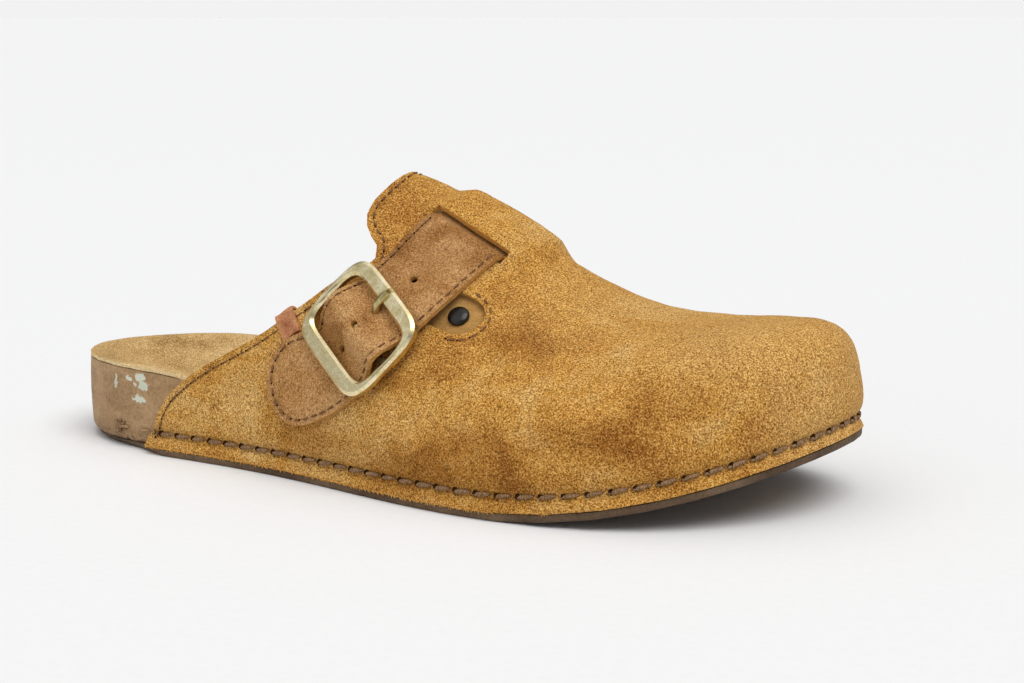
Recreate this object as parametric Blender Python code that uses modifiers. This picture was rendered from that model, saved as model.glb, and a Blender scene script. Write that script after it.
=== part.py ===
"""Clog slipper, right foot: each piece is its own closed solid. Metres, +Z up, toe towards +X."""
import math
from collections import namedtuple

import bmesh
import bpy
import numpy as np
from mathutils import Matrix, Vector
from mathutils.bvhtree import BVHTree

MM = 0.001

# Driving sizes of the last and the sole
LENGTH = 276.5 * MM
HALF_BREADTH = 54.0 * MM
INSTEP_HEIGHT = 97.0 * MM
TOE_SPRING = 19.0 * MM
SOLE_THICKNESS = 2.3 * MM
RIM_HEIGHT = 29.2 * MM
HEEL_REST = 38.0 * MM

# Fit and sheet thicknesses
GAP = 0.3 * MM
UPPER_WALL = 1.8 * MM
INSOLE_THICKNESS = 1.2 * MM
STRAP_THICKNESS = 1.8 * MM
CHAPE_THICKNESS = 1.0 * MM
FACING_THICKNESS = 1.4 * MM
TAG_THICKNESS = 1.0 * MM

# Flange, thread groove and roll of the upper's lower edge
FLANGE_REACH = 1.3 * MM
FLANGE_FADE = 4.0 * MM
ROLL_REACH = 0.9 * MM
ROLL_HEIGHT = 10.0 * MM
ROLL_FADE = 5.0 * MM
WELT_REACH = 3.0 * MM

# Footbed
RIM_LIP = 3.0 * MM
HEEL_BED = 17.0 * MM

# Strap, the bridge that holds it down and the openings in the upper
STRAP_WIDTH = 29.0 * MM
BRIDGE_LIFT = 2.7 * MM
BRIDGE_RAMP = 3.5 * MM
SLIT_WIDTH = 5.2 * MM
SLIT_CLEARANCE = 0.8 * MM
SLIT_OFFSET = 18.5 * MM
NOTCH_LENGTH = 42.0 * MM
NOTCH_HEIGHT = 14.5 * MM
HOLE_RADIUS = 1.3 * MM
HOLE_PITCH = 8.5 * MM
HOLES_BEHIND_PRONG = 2
HOLES_AHEAD_OF_PRONG = 2

# Buckle
BUCKLE_WIDTH = 36.0 * MM
BUCKLE_LENGTH = 33.0 * MM
BUCKLE_THICKNESS = 2.6 * MM
END_BAR_WIDTH = 5.4 * MM
SIDE_BAR_WIDTH = 2.6 * MM
SIDE_BOW = 1.5 * MM
BUCKLE_ARCH = 0.2 * MM
PIVOT_RADIUS = 1.1 * MM
PRONG_RADIUS = 0.85 * MM

# Rivet and tag
RIVET_HEAD_RADIUS = 3.4 * MM
RIVET_HEAD_HEIGHT = 1.6 * MM
RIVET_SHANK_RADIUS = 1.4 * MM
TAG_WIDTH = 7.0 * MM
TAG_DROP = 7.5 * MM

# Places and forms: shares are of the named lengths, turns in degrees
SLIT_SPLAY = -0.06
SLIT_HOP = 0.8 * MM
BRIDGE_SINK = 0.5 * MM
FACING_SINK = 0.35 * MM
CUT_DEPTH = 16.0 * MM
NOTCH_ALONG = 0.558
NOTCH_UP = 0.615
NOTCH_DIP = 0.36
STRAP_TIP = 14.0 * MM
TIP_FLAT = 0.25
TIP_SQUARE = 2.2
BUCKLE_RISE = 0.487
BUCKLE_SEAT = 0.95 * MM
BUCKLE_BEVEL = 0.8 * MM
OUTER_SQUARE = 6.0
INNER_SQUARE = 8.0
GROOVE_DEPTH = 1.2 * MM
PRONG_HOLE = 7.4 * MM
HOLE_SLACK = 2.0 * MM
ROUND_HOLE = 1.001
CHAPE_WIDTH = 16.0 * MM
FOLD_TURN = 235.0
FACING_MARGIN = 4.0 * MM
RIVET_FROM_FRONT = 9.0 * MM
RIVET_TAIL_RADIUS = 2.8 * MM
RIVET_TAIL = 0.8 * MM
TAG_ALONG = 0.378
EDGE_SLANT = 0.8 * MM
HEEL_ROUND = 3.4 * MM
WELT_START = 38.0 * MM
WELT_RUN = 9.0 * MM
WELT_UNDERCUT = 0.4 * MM
BOWL_HEEL = 0.13
BOWL_TOE = 0.80
BOWL_POWER = 2.2
BOWL_RINGS = (0.15, 0.35, 0.6, 0.85)

# Fineness
FINE_STATIONS = 360
SOLE_STEP = 15
UPPER_SPACING = 9.0 * MM
TOE_SPACING = 6.0 * MM
BRIDGE_SPACING = 3.8 * MM
RISES = (
    -0.03, 0.01, 0.05, 0.085, 0.13, 0.2, 0.29, 0.39, 0.49, 0.59, 0.68, 0.74, 0.775, 0.80, 0.83,
    0.87, 0.93, 1.0,
)
STRAP_STEP = 4.5 * MM
STRAP_COLUMNS = 6
CHAPE_COLUMNS = 4
TIP_STEPS = 5
BUCKLE_STEPS = 48
HOOK_STEPS = 6
FOLD_STEPS = 8
ROUND_STEPS = 6

# Outline of the footbed seen from above, from the heel along the outer side and back along the
# inner side: along is a share of LENGTH, across a share of HALF_BREADTH, inner side positive.
Plan = namedtuple("Plan", "along across")
PLAN = [
    Plan(0.000, -0.034), Plan(0.031, -0.379), Plan(0.087, -0.572), Plan(0.157, -0.649),
    Plan(0.279, -0.689), Plan(0.434, -0.802), Plan(0.588, -0.970), Plan(0.712, -1.015),
    Plan(0.825, -0.910), Plan(0.918, -0.629), Plan(0.974, -0.281), Plan(1.000, 0.155),
    Plan(0.985, 0.496), Plan(0.938, 0.750), Plan(0.845, 0.923), Plan(0.732, 0.990),
    Plan(0.609, 0.912), Plan(0.464, 0.720), Plan(0.331, 0.626), Plan(0.209, 0.664),
    Plan(0.118, 0.638), Plan(0.046, 0.412),
]

# Cross sections of the last: along is a share of LENGTH; ridge and wall are shares of
# INSTEP_HEIGHT; lean, how far the ridge sits to the inner side, is a share of HALF_BREADTH;
# square_out and square_up are the powers of the rounded part, 2 for an ellipse.
Section = namedtuple("Section", "along ridge lean wall square_out square_up")
SECTIONS = [
    Section(0.12, 1.269, 0.032, 0.263, 2.10, 1.53),
    Section(0.24, 1.171, 0.066, 0.230, 1.97, 1.51),
    Section(0.34, 1.088, 0.094, 0.182, 1.87, 1.49),
    Section(0.44, 0.998, 0.128, 0.143, 1.76, 1.45),
    Section(0.52, 0.919, 0.158, 0.131, 1.67, 1.48),
    Section(0.60, 0.821, 0.171, 0.124, 1.53, 1.58),
    Section(0.68, 0.684, 0.168, 0.118, 1.55, 1.75),
    Section(0.76, 0.588, 0.165, 0.115, 1.90, 2.01),
    Section(0.84, 0.555, 0.160, 0.111, 2.67, 2.35),
    Section(0.92, 0.571, 0.155, 0.107, 3.30, 2.60),
    Section(1.00, 0.620, 0.150, 0.103, 3.80, 2.80),
]
UPPER_START = 0.14
WALL_SHARE = 0.2
RIDGE_END = 0.862
RIDGE_SOFTNESS = 0.05
SPRING_START = 0.66

# Rim of the footbed and floor of its bowl: rim is a share of RIM_HEIGHT, bed of HEEL_BED.
Bed = namedtuple("Bed", "along rim bed")
BED = [
    Bed(0.00, 1.00, 1.05),
    Bed(0.12, 1.00, 1.00),
    Bed(0.24, 0.94, 1.08),
    Bed(0.36, 0.70, 1.10),
    Bed(0.50, 0.58, 0.90),
    Bed(0.64, 0.53, 0.74),
    Bed(0.80, 0.50, 0.68),
    Bed(1.00, 0.50, 0.70),
]

# Edge of the foot opening seen from the side, from the outsole up to the tab and over its end:
# along is a share of LENGTH, up a share of INSTEP_HEIGHT.
Collar = namedtuple("Collar", "along up")
COLLAR = [
    Collar(0.168, -0.020), Collar(0.170, 0.045), Collar(0.183, 0.095), Collar(0.192, 0.155),
    Collar(0.204, 0.209), Collar(0.224, 0.258), Collar(0.251, 0.314), Collar(0.288, 0.373),
    Collar(0.338, 0.450), Collar(0.393, 0.560), Collar(0.450, 0.679), Collar(0.476, 0.722),
    Collar(0.474, 0.757), Collar(0.459, 0.795), Collar(0.446, 0.845), Collar(0.444, 0.885),
    Collar(0.448, 0.925), Collar(0.453, 0.961), Collar(0.458, 1.000), Collar(0.470, 1.090),
]

# Middle line of the strap on the last, over the outer side: along is a share of LENGTH,
# rise runs from 0 at the sole to 1 at the ridge.
Route = namedtuple("Route", "along rise")
STRAP_ROUTE = [
    Route(0.3700, 0.305), Route(0.4100, 0.345), Route(0.4510, 0.392), Route(0.4930, 0.487),
    Route(0.5320, 0.592), Route(0.5530, 0.700), Route(0.5680, 0.795), Route(0.5830, 0.900),
    Route(0.5890, 1.000),
]
STRAP_START_RISE = 0.392


def remove_all():
    for old in list(bpy.data.objects):
        bpy.data.objects.remove(old, do_unlink=True)


def collection(name):
    made = bpy.data.collections.new(name)
    bpy.context.scene.collection.children.link(made)
    return made


remove_all()
PARTS = collection("clog_slipper")
CUTTERS = collection("cutters")
ROOT = bpy.data.objects.new("clog", None)
ROOT.location = (-HEEL_REST, 0.0, 0.0)
PARTS.objects.link(ROOT)


def linear(code):
    """An sRGB hex code as linear RGBA."""
    channels = [int(code[i:i + 2], 16) / 255 for i in (1, 3, 5)]
    curved = [c / 12.92 if c <= 0.04045 else ((c + 0.055) / 1.055) ** 2.4 for c in channels]
    return (*curved, 1.0)


def material(name, code, roughness, metallic=0.0):
    made = bpy.data.materials.new(name)
    made.use_nodes = True
    shader = made.node_tree.nodes["Principled BSDF"]
    shader.inputs["Base Color"].default_value = linear(code)
    shader.inputs["Roughness"].default_value = roughness
    shader.inputs["Metallic"].default_value = metallic
    return made


def mesh_object(name, points, faces, surface=None, group=PARTS, split=False):
    """A welded mesh object with its faces turned outward; split cuts quads across their short way."""
    mesh = bpy.data.meshes.new(name)
    mesh.from_pydata([tuple(p) for p in points], [], faces)
    work = bmesh.new()
    work.from_mesh(mesh)
    bmesh.ops.remove_doubles(work, verts=work.verts, dist=0.01 * MM)
    bmesh.ops.dissolve_degenerate(work, edges=work.edges, dist=0.01 * MM)
    bmesh.ops.recalc_face_normals(work, faces=work.faces)
    if split:
        bmesh.ops.triangulate(work, faces=work.faces, quad_method="SHORT_EDGE")
    work.to_mesh(mesh)
    work.free()
    made = bpy.data.objects.new(name, mesh)
    group.objects.link(made)
    made.parent = ROOT
    if surface is not None:
        mesh.materials.append(surface)
    return made


def cutter(name, points, faces):
    made = mesh_object(name, points, faces, group=CUTTERS)
    made.hide_render = True
    made.display_type = "WIRE"
    return made


def cut(target, tool):
    step = target.modifiers.new(tool.name, "BOOLEAN")
    step.operation = "DIFFERENCE"
    step.solver = "EXACT"
    step.object = tool


def grid_faces(rows, columns, wrap=False):
    """Quads between neighbouring rows of points; wrap closes each row into a ring."""
    last = columns if wrap else columns - 1
    return [
        (r * columns + c, r * columns + (c + 1) % columns,
         (r + 1) * columns + (c + 1) % columns, (r + 1) * columns + c)
        for r in range(rows - 1)
        for c in range(last)
    ]


def ring_loft(name, rings, surface):
    """A closed solid through equal rings, its two end rings filled."""
    count = len(rings[0])
    points = [p for ring in rings for p in ring]
    faces = grid_faces(len(rings), count, wrap=True)
    faces.append(tuple(range(count)))
    faces.append(tuple(range(len(points) - count, len(points))))
    return mesh_object(name, points, faces, surface)


def column(table, name):
    return np.array([getattr(row, name) for row in table])


def smooth(table, name, along, by="along"):
    """A table's column as a smooth curve of another column, straight beyond its ends."""
    knots = column(table, by)
    values = column(table, name)
    slopes = np.gradient(values, knots)
    along = np.asarray(along, float)
    i = np.clip(np.searchsorted(knots, along, side="right") - 1, 0, len(knots) - 2)
    span = knots[i + 1] - knots[i]
    t = (along - knots[i]) / span
    k = np.clip(t, 0.0, 1.0)
    inside = (
        (2 * k ** 3 - 3 * k ** 2 + 1) * values[i] + (k ** 3 - 2 * k ** 2 + k) * span * slopes[i]
        + (3 * k ** 2 - 2 * k ** 3) * values[i + 1] + (k ** 3 - k ** 2) * span * slopes[i + 1]
    )
    return inside + (t - k) * span * np.where(t < 0, slopes[0], slopes[-1])


def ease(value):
    """0 below 0, 1 above 1, smooth between."""
    t = np.clip(value, 0.0, 1.0)
    return t * t * (3 - 2 * t)


def closed_curve(points, count):
    """Points along the smooth closed curve through the given ones."""
    p = np.asarray(points, float)
    n = len(p)
    gaps = np.linalg.norm(np.roll(p, -1, axis=0) - p, axis=1)
    reach = np.concatenate([[0.0], np.cumsum(gaps)])
    matrix = np.zeros((n, n))
    right = np.zeros((n, 2))
    for i in range(n):
        before, after = gaps[i - 1], gaps[i]
        matrix[i, i - 1] += before
        matrix[i, i] += 2 * (before + after)
        matrix[i, (i + 1) % n] += after
        right[i] = 6 * ((p[(i + 1) % n] - p[i]) / after - (p[i] - p[i - 1]) / before)
    bend = np.linalg.solve(matrix, right)
    t = np.linspace(0.0, reach[-1], count, endpoint=False)
    i = np.clip(np.searchsorted(reach, t, side="right") - 1, 0, n - 1)
    j = (i + 1) % n
    gap = gaps[i][:, None]
    left = (reach[i + 1] - t)[:, None]
    gone = (t - reach[i])[:, None]
    return (
        bend[i] * left ** 3 / (6 * gap) + bend[j] * gone ** 3 / (6 * gap)
        + (p[i] / gap - bend[i] * gap / 6) * left + (p[j] / gap - bend[j] * gap / 6) * gone
    )


def plan_stations(count):
    """Outline points and outward normals at matched stations of the outer and inner side."""
    dense = closed_curve([(row.along * LENGTH, row.across * HALF_BREADTH) for row in PLAN], 2400)
    heading = np.roll(dense, -1, axis=0) - np.roll(dense, 1, axis=0)
    heading /= np.linalg.norm(heading, axis=1)[:, None]
    normals = np.stack([heading[:, 1], -heading[:, 0]], axis=1)
    heel = int(np.argmin(dense[:, 0]))
    toe = int(np.argmax(dense[:, 0]))
    order = np.arange(heel, heel + len(dense) + 1) % len(dense)
    split = (toe - heel) % len(dense)
    sides = []
    for chosen in (order[:split + 1], order[split:][::-1]):
        along = dense[chosen, 0]
        lo, hi = along[0], along[-1]
        turn = np.arccos(np.clip(1 - 2 * (along - lo) / (hi - lo), -1, 1))
        wanted = np.linspace(0.0, math.pi, count + 1)
        place = np.stack([np.interp(wanted, turn, dense[chosen, k]) for k in (0, 1)], axis=1)
        outward = np.stack([np.interp(wanted, turn, normals[chosen, k]) for k in (0, 1)], axis=1)
        outward /= np.linalg.norm(outward, axis=1)[:, None]
        sides.append((place, outward))
    return sides


OUTER, INNER = plan_stations(FINE_STATIONS)


def spring(x):
    """How far the sole has risen towards the toe."""
    reach = np.clip((np.asarray(x) / LENGTH - SPRING_START) / (1 - SPRING_START), 0.0, 1.1)
    return TOE_SPRING * reach ** 2


def ridge_point(x):
    """Plan place of the ridge that belongs to a station; it stops short of the toe."""
    past = (RIDGE_END - np.asarray(x) / LENGTH) / RIDGE_SOFTNESS
    along = RIDGE_END - RIDGE_SOFTNESS * np.logaddexp(0.0, past)
    return along * LENGTH, smooth(SECTIONS, "lean", along) * HALF_BREADTH


def last_points(x, foot, rise):
    """Points of the last above plan points foot of station x; rise is 0 at the sole, 1 at the ridge."""
    x = np.asarray(x, float)
    rise = np.asarray(rise, float)
    along = x / LENGTH
    ridge_x, ridge_y = ridge_point(x)
    turn = np.clip((rise - WALL_SHARE) / (1 - WALL_SHARE), 0.0, 1.0) * math.pi / 2
    out = np.clip(np.cos(turn), 0.0, 1.0) ** (2 / smooth(SECTIONS, "square_out", along))
    up = np.sin(turn) ** (2 / smooth(SECTIONS, "square_up", along))
    px = ridge_x + out * (foot[..., 0] - ridge_x)
    py = ridge_y + out * (foot[..., 1] - ridge_y)
    low = SOLE_THICKNESS + GAP + spring(foot[..., 0])
    wall = smooth(SECTIONS, "wall", along) * INSTEP_HEIGHT
    top = smooth(SECTIONS, "ridge", px / LENGTH) * INSTEP_HEIGHT
    pz = low + wall * np.minimum(rise / WALL_SHARE, 1.0) + (top - low - wall) * up
    return np.stack([px, py, pz], axis=-1)


def last_grid(side, reach, chosen, rises):
    """Rows of points, one for each chosen station, up one side of the last."""
    place, outward = side
    foot = (place + outward * reach)[chosen, None, :]
    x = place[chosen, 0][:, None]
    rise = np.broadcast_to(np.asarray(rises)[None, :], (len(x), len(rises)))
    return last_points(np.broadcast_to(x, rise.shape), np.broadcast_to(foot, rise.shape + (2,)), rise)


def whole_grid(reach, chosen, rises):
    """Rows of points over the last, from the outer sole edge over the ridge to the inner one."""
    outer = last_grid(OUTER, reach, chosen, rises)
    inner = last_grid(INNER, reach, chosen, rises)
    return np.concatenate([outer, inner[:, -2::-1]], axis=1)


def grid_normals(grid):
    """Outward normals of a grid of points."""
    down = np.gradient(grid, axis=0)
    over = np.gradient(grid, axis=1)
    normal = np.cross(over, down)
    length = np.linalg.norm(normal, axis=-1, keepdims=True)
    normal = normal / np.maximum(length, 1e-12)
    middle = Vector((0.5 * LENGTH, 0.0, 0.0))
    if np.mean(np.sum((grid - np.array(middle)) * normal, axis=-1)) < 0:
        normal = -normal
    return normal


OUTSIDE = GAP + UPPER_WALL


def fine_last():
    """A search tree over the outside of the last, without flange or bridge."""
    rises = np.linspace(0.0, 1.0, 61)
    behind = np.arange(len(OUTER[0]))[OUTER[0][:, 0] > UPPER_START * LENGTH]
    grid = whole_grid(OUTSIDE, behind[:-1:3], rises)
    rows, columns = grid.shape[:2]
    return BVHTree.FromPolygons([tuple(p) for p in grid.reshape(-1, 3)], grid_faces(rows, columns))


LAST_TREE = fine_last()


def on_last(point):
    """Nearest place on the outside of the last and the outward normal there."""
    place, normal, _, _ = LAST_TREE.find_nearest(Vector(point))
    centre = Vector((place.x, 0.0, 0.2 * INSTEP_HEIGHT))
    if normal.dot(place - centre) < 0:
        normal = -normal
    return place, normal


def side_place(x, height, inner=False):
    """The place on one side of the last that has this x and this height."""
    rises = np.linspace(0.0, 1.0, 401)
    place, outward = INNER if inner else OUTER
    foot = np.array([np.interp(x, place[:, 0], (place + outward * OUTSIDE)[:, 1])])
    line = last_points(
        np.full(401, x), np.stack([np.full(401, x), np.full(401, foot[0])], axis=-1), rises)
    chosen = int(np.argmin(np.abs(line[:, 2] - height)))
    return Vector(line[chosen])


def strap_line():
    """The strap's middle line on the last, from its inner end over the ridge to its free end."""
    lowest = STRAP_ROUTE[0].rise
    pieces = []
    for (place, outward), start in ((INNER, STRAP_START_RISE), (OUTER, lowest)):
        rise = np.linspace(start, 1.0, 240)
        x = smooth(STRAP_ROUTE, "along", rise, by="rise") * LENGTH
        foot = place + outward * OUTSIDE
        foot = np.stack([np.interp(x, place[:, 0], foot[:, k]) for k in (0, 1)], axis=-1)
        pieces.append(last_points(x, foot, rise))
    line = np.concatenate([pieces[0], pieces[1][-2::-1]])
    reach = np.concatenate([[0.0], np.cumsum(np.linalg.norm(np.diff(line, axis=0), axis=1))])
    return line, reach - reach[len(pieces[0]) - 1]


STRAP_LINE, STRAP_REACH = strap_line()


def strap_at(reach):
    """Middle of the strap on the last at a distance from the ridge, positive to the outer side."""
    return Vector([np.interp(reach, STRAP_REACH, STRAP_LINE[:, k]) for k in range(3)])


def strap_frame(reach, step=2.0 * MM):
    """Place, across, along and outward at a distance along the strap."""
    place, normal = on_last(strap_at(reach))
    along = strap_at(reach + step) - strap_at(reach - step)
    along = (along - normal * along.dot(normal)).normalized()
    return place, normal.cross(along).normalized(), along, normal


def reach_of(rise):
    """Distance along the strap of a rise on the outer side."""
    x = float(smooth(STRAP_ROUTE, "along", rise, by="rise")) * LENGTH
    outer = STRAP_REACH > 0
    nearest = np.argmin(np.abs(STRAP_LINE[outer, 0] - x))
    return float(STRAP_REACH[outer][nearest])


def bridge_place(x, y):
    """How far along and across the strap's crossing a plan place lies."""
    across = y - ridge_point(x)[1]
    middle = STRAP_LINE[:, 1] - ridge_point(STRAP_LINE[:, 0])[1]
    near = np.abs(STRAP_REACH) < 2.2 * SLIT_OFFSET
    order = np.argsort(middle[near])
    crossing = np.interp(across, middle[near][order], STRAP_LINE[near, 0][order])
    return x - crossing, across


def relief(grid):
    """How far the upper stands out from the last: roll and flange at the foot, bridge on top."""
    height = grid[..., 2] - SOLE_THICKNESS - GAP - spring(grid[..., 0])
    flange = FLANGE_REACH * (1 - ease(height / FLANGE_FADE))
    roll = ROLL_REACH * np.exp(-((height - ROLL_HEIGHT) / ROLL_FADE) ** 2)
    along, across = bridge_place(grid[..., 0], grid[..., 1])
    half = STRAP_WIDTH / 2 + SLIT_CLEARANCE
    inside = ease((slit_across(along, across) - np.abs(across)) / SLIT_WIDTH + 0.5)
    held = ease((half - np.abs(along)) / BRIDGE_RAMP + 1)
    return flange + roll + BRIDGE_LIFT * inside * held


def slit_across(along, across):
    """Distance of a slit from the ridge; the slits part towards the toe."""
    slopes = [abs(slit_frame(inner)[1].y) / slit_frame(inner)[1].x for inner in (False, True)]
    return SLIT_OFFSET + np.where(across < 0, slopes[0], slopes[1]) * along


def sole_ring(reaches, heights, shrink=0.0):
    """A closed ring of points: outline moved out by reaches, or drawn in towards the middle line."""
    sides = []
    for place, outward in (OUTER, INNER):
        place, outward = place[::SOLE_STEP], outward[::SOLE_STEP]
        x = place[:, 0]
        moved = place + outward * np.broadcast_to(reaches(x), x.shape)[:, None]
        centre_x = np.clip(x, BOWL_HEEL * LENGTH, BOWL_TOE * LENGTH)
        centre_y = sum(np.interp(centre_x, side[0][:, 0], side[0][:, 1]) for side in (OUTER, INNER)) / 2
        centre = np.stack([centre_x, centre_y], axis=1)
        moved = centre + (1 - shrink) * (moved - centre)
        sides.append(np.column_stack([moved, heights(x, moved[:, 0])]))
    return np.concatenate([sides[0], sides[1][-2:0:-1]])


def sole_solid(name, rings, surface, group=PARTS):
    """A closed solid through sole rings, with ladders of quads across its first and last ring."""
    count = len(rings[0])
    half = count // 2
    points = np.concatenate(rings)
    faces = grid_faces(len(rings), count, wrap=True)
    for start in (0, len(points) - count):
        for k in range(half):
            inner, after = (count - k) % count, count - k - 1
            corners = [start + k, start + k + 1, start + after, start + inner]
            faces.append(tuple(dict.fromkeys(corners)))
    return mesh_object(name, points, faces, surface, group, split=True)


def steady(value):
    return lambda x: np.full(np.shape(x), value)


def under_upper(x):
    """0 at the bare heel, 1 where the upper stands on the outsole."""
    return ease((x - WELT_START) / WELT_RUN)


def outsole():
    def reach(bare, welted):
        return lambda x: bare + (welted - bare) * under_upper(x)

    def level(height):
        return lambda x, px: height + spring(px)

    rings = [
        sole_ring(reach(-HEEL_ROUND, WELT_REACH - WELT_UNDERCUT), level(0.0)),
        sole_ring(reach(-0.6 * HEEL_ROUND, WELT_REACH), level(0.35 * SOLE_THICKNESS)),
        sole_ring(reach(-0.3 * HEEL_ROUND, WELT_REACH), level(SOLE_THICKNESS)),
    ]
    return sole_solid("outsole", rings, material("dark_rubber", "#7A6555", 0.85))


def rim_top(x):
    """Top of the footbed's rim, under the insole."""
    return smooth(BED, "rim", x / LENGTH) * RIM_HEIGHT + spring(x) - INSOLE_THICKNESS - GAP


def bowl(shrink):
    """Height of the bowl's surface on a ring drawn in by shrink."""
    def height(x, px):
        bed = smooth(BED, "bed", px / LENGTH) * HEEL_BED + spring(px) - INSOLE_THICKNESS - GAP
        return bed + (rim_top(x) - bed) * (1 - shrink) ** BOWL_POWER
    return height


def bed_rings(lift):
    """Rings of the bowl's surface from the rim inwards, raised by lift."""
    rings = [
        sole_ring(steady(0.0), lambda x, px: rim_top(x) + lift),
        sole_ring(steady(-RIM_LIP), lambda x, px: rim_top(x) + lift),
    ]
    for shrink in BOWL_RINGS:
        rings.append(sole_ring(
            steady(-RIM_LIP), lambda x, px, k=shrink: bowl(k)(x, px) + lift, shrink=shrink))
    return rings


def footbed():
    low = SOLE_THICKNESS + GAP
    rings = [
        sole_ring(steady(-0.3 * HEEL_ROUND), lambda x, px: low + spring(x)),
        sole_ring(steady(-0.08 * HEEL_ROUND), lambda x, px: low + spring(x) + 0.3 * HEEL_ROUND),
        sole_ring(steady(0.0), lambda x, px: low + spring(x) + 0.7 * HEEL_ROUND),
    ]
    return sole_solid("footbed", rings + bed_rings(0.0), material("worn_footbed", "#A58A6A", 0.8))


def insole():
    under = bed_rings(GAP)
    over = bed_rings(GAP + INSOLE_THICKNESS)
    return sole_solid("insole", under[::-1] + over, material("insole_suede", "#B29A68", 0.95))


def upper_stations():
    """Stations of the upper's sections, closer where the bridge rises and round the toe."""
    place = OUTER[0]
    middle = STRAP_ROUTE[-1].along * LENGTH
    chosen = [int(np.searchsorted(place[:, 0], UPPER_START * LENGTH))]
    for k in range(chosen[0] + 1, len(place)):
        x = place[k, 0]
        spacing = UPPER_SPACING
        if abs(x - middle) < STRAP_WIDTH:
            spacing = BRIDGE_SPACING
        elif x > RIDGE_END * LENGTH:
            spacing = TOE_SPACING
        if np.linalg.norm(place[k] - place[chosen[-1]]) > spacing:
            chosen.append(k)
    if np.linalg.norm(place[-1] - place[chosen[-1]]) < 0.5 * TOE_SPACING:
        chosen.pop()
    return chosen + [len(place) - 1]


def upper():
    grid = whole_grid(OUTSIDE, upper_stations(), RISES)
    normal = grid_normals(grid)
    tip = normal[-1] + normal[-1, ::-1]
    tip[len(tip) // 2] = (0.0, 0.0, 1.0)
    normal[-1] = tip / np.linalg.norm(tip, axis=-1, keepdims=True)
    grid = grid + normal * relief(grid)[..., None]
    rows, columns = grid.shape[:2]
    made = mesh_object(
        "upper", grid.reshape(-1, 3), grid_faces(rows, columns), material("suede", "#C08A3E", 0.95))
    face = made.data.polygons[len(made.data.polygons) // 2]
    middle = Vector((0.6 * LENGTH, 0.0, 0.0))
    if face.normal.dot(face.center - middle) < 0:
        made.data.flip_normals()
    shell = made.modifiers.new("wall", "SOLIDIFY")
    shell.thickness = UPPER_WALL
    shell.offset = -1
    shell.use_quality_normals = True
    cut(made, collar_cutter())
    cut(made, sole_cutter())
    for inner in (False, True):
        cut(made, slit_cutter(inner))
        cut(made, notch_cutter(inner))
    return made


def curve_through(table, count):
    """A smooth open curve through a table of along and up, as x and z."""
    x = column(table, "along") * LENGTH
    z = column(table, "up") * INSTEP_HEIGHT
    reach = np.concatenate([[0.0], np.cumsum(np.hypot(np.diff(x), np.diff(z)))])
    wanted = np.linspace(0.0, reach[-1], count)
    knot = namedtuple("Knot", "reach x z")
    rows = [knot(*row) for row in zip(reach, x, z)]
    return np.stack([smooth(rows, name, wanted, by="reach") for name in ("x", "z")], axis=1)


def collar_cutter():
    """Everything behind and above the collar's edge, as a block as wide as the shoe."""
    edge = curve_through(COLLAR, 40)
    far = 2 * INSTEP_HEIGHT
    outline = [tuple(p) for p in edge]
    outline += [(edge[-1][0], far), (-far, far), (-far, edge[0][1])]
    count = len(outline)
    side = 2 * HALF_BREADTH
    points = [(x, -side, z) for x, z in outline] + [(x, side, z) for x, z in outline]
    faces = grid_faces(2, count, wrap=True)
    faces += [tuple(range(count)), tuple(range(count, 2 * count))]
    return cutter("collar_cutter", points, faces)


def sole_cutter():
    """Everything below the upper's lower edge, which follows the outsole's top."""
    def top(x, px):
        return SOLE_THICKNESS + GAP + spring(px)

    def bottom(x, px):
        return top(x, px) - CUT_DEPTH

    rings = [sole_ring(steady(reach), level) for reach, level in (
        (CUT_DEPTH, bottom), (CUT_DEPTH, top))]
    made = sole_solid("sole_cutter", rings, None, CUTTERS)
    made.hide_render = True
    made.display_type = "WIRE"
    return made


def block(name, place, across, along, outward, sizes, rounded=False):
    """A cutting box, or a slot with round ends, given by its middle, its three axes and its sizes."""
    length, width, depth = sizes
    if rounded:
        turns = [math.pi * (k / ROUND_STEPS - 0.5) for k in range(ROUND_STEPS + 1)]
        straight = (length - width) / 2
        outline = [(straight + width / 2 * math.cos(t), width / 2 * math.sin(t)) for t in turns]
        outline += [(-p, -q) for p, q in outline]
    else:
        outline = [(-length / 2, -width / 2), (length / 2, -width / 2)]
        outline += [(-p, -q) for p, q in outline]
    points = [
        place + across * p + along * q + outward * h
        for h in (-depth / 2, depth / 2)
        for p, q in outline
    ]
    count = len(outline)
    faces = grid_faces(2, count, wrap=True)
    faces += [tuple(range(count)), tuple(range(count, 2 * count))]
    return cutter(name, points, faces)


def mirrored_side(place, inner):
    """The matching place on the inner side: same distance from the ridge, same height."""
    if not inner:
        return place
    return side_place(place.x, place.z, inner=True)


def slit_reach(inner=False):
    """Distance along the strap at which it comes out from under the bridge."""
    side = STRAP_REACH < 0 if inner else STRAP_REACH > 0
    across = np.abs(STRAP_LINE[side, 1] - ridge_point(STRAP_LINE[side, 0])[1])
    order = np.argsort(across)
    return float(np.interp(SLIT_OFFSET, across[order], STRAP_REACH[side][order]))


def slit_frame(inner):
    """Middle of a slit on the last, its long axis, its short axis and the outward normal."""
    place, across, along, outward = strap_frame(slit_reach(inner))
    away = -along if inner else along
    forward = (across + away * SLIT_SPLAY).normalized()
    return place, forward, outward.cross(forward).normalized(), outward


def slit_cutter(inner):
    name = "inner_slit" if inner else "outer_slit"
    length = STRAP_WIDTH + 2 * SLIT_CLEARANCE
    return block(name, *slit_frame(inner), (length, SLIT_WIDTH, CUT_DEPTH))


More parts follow.
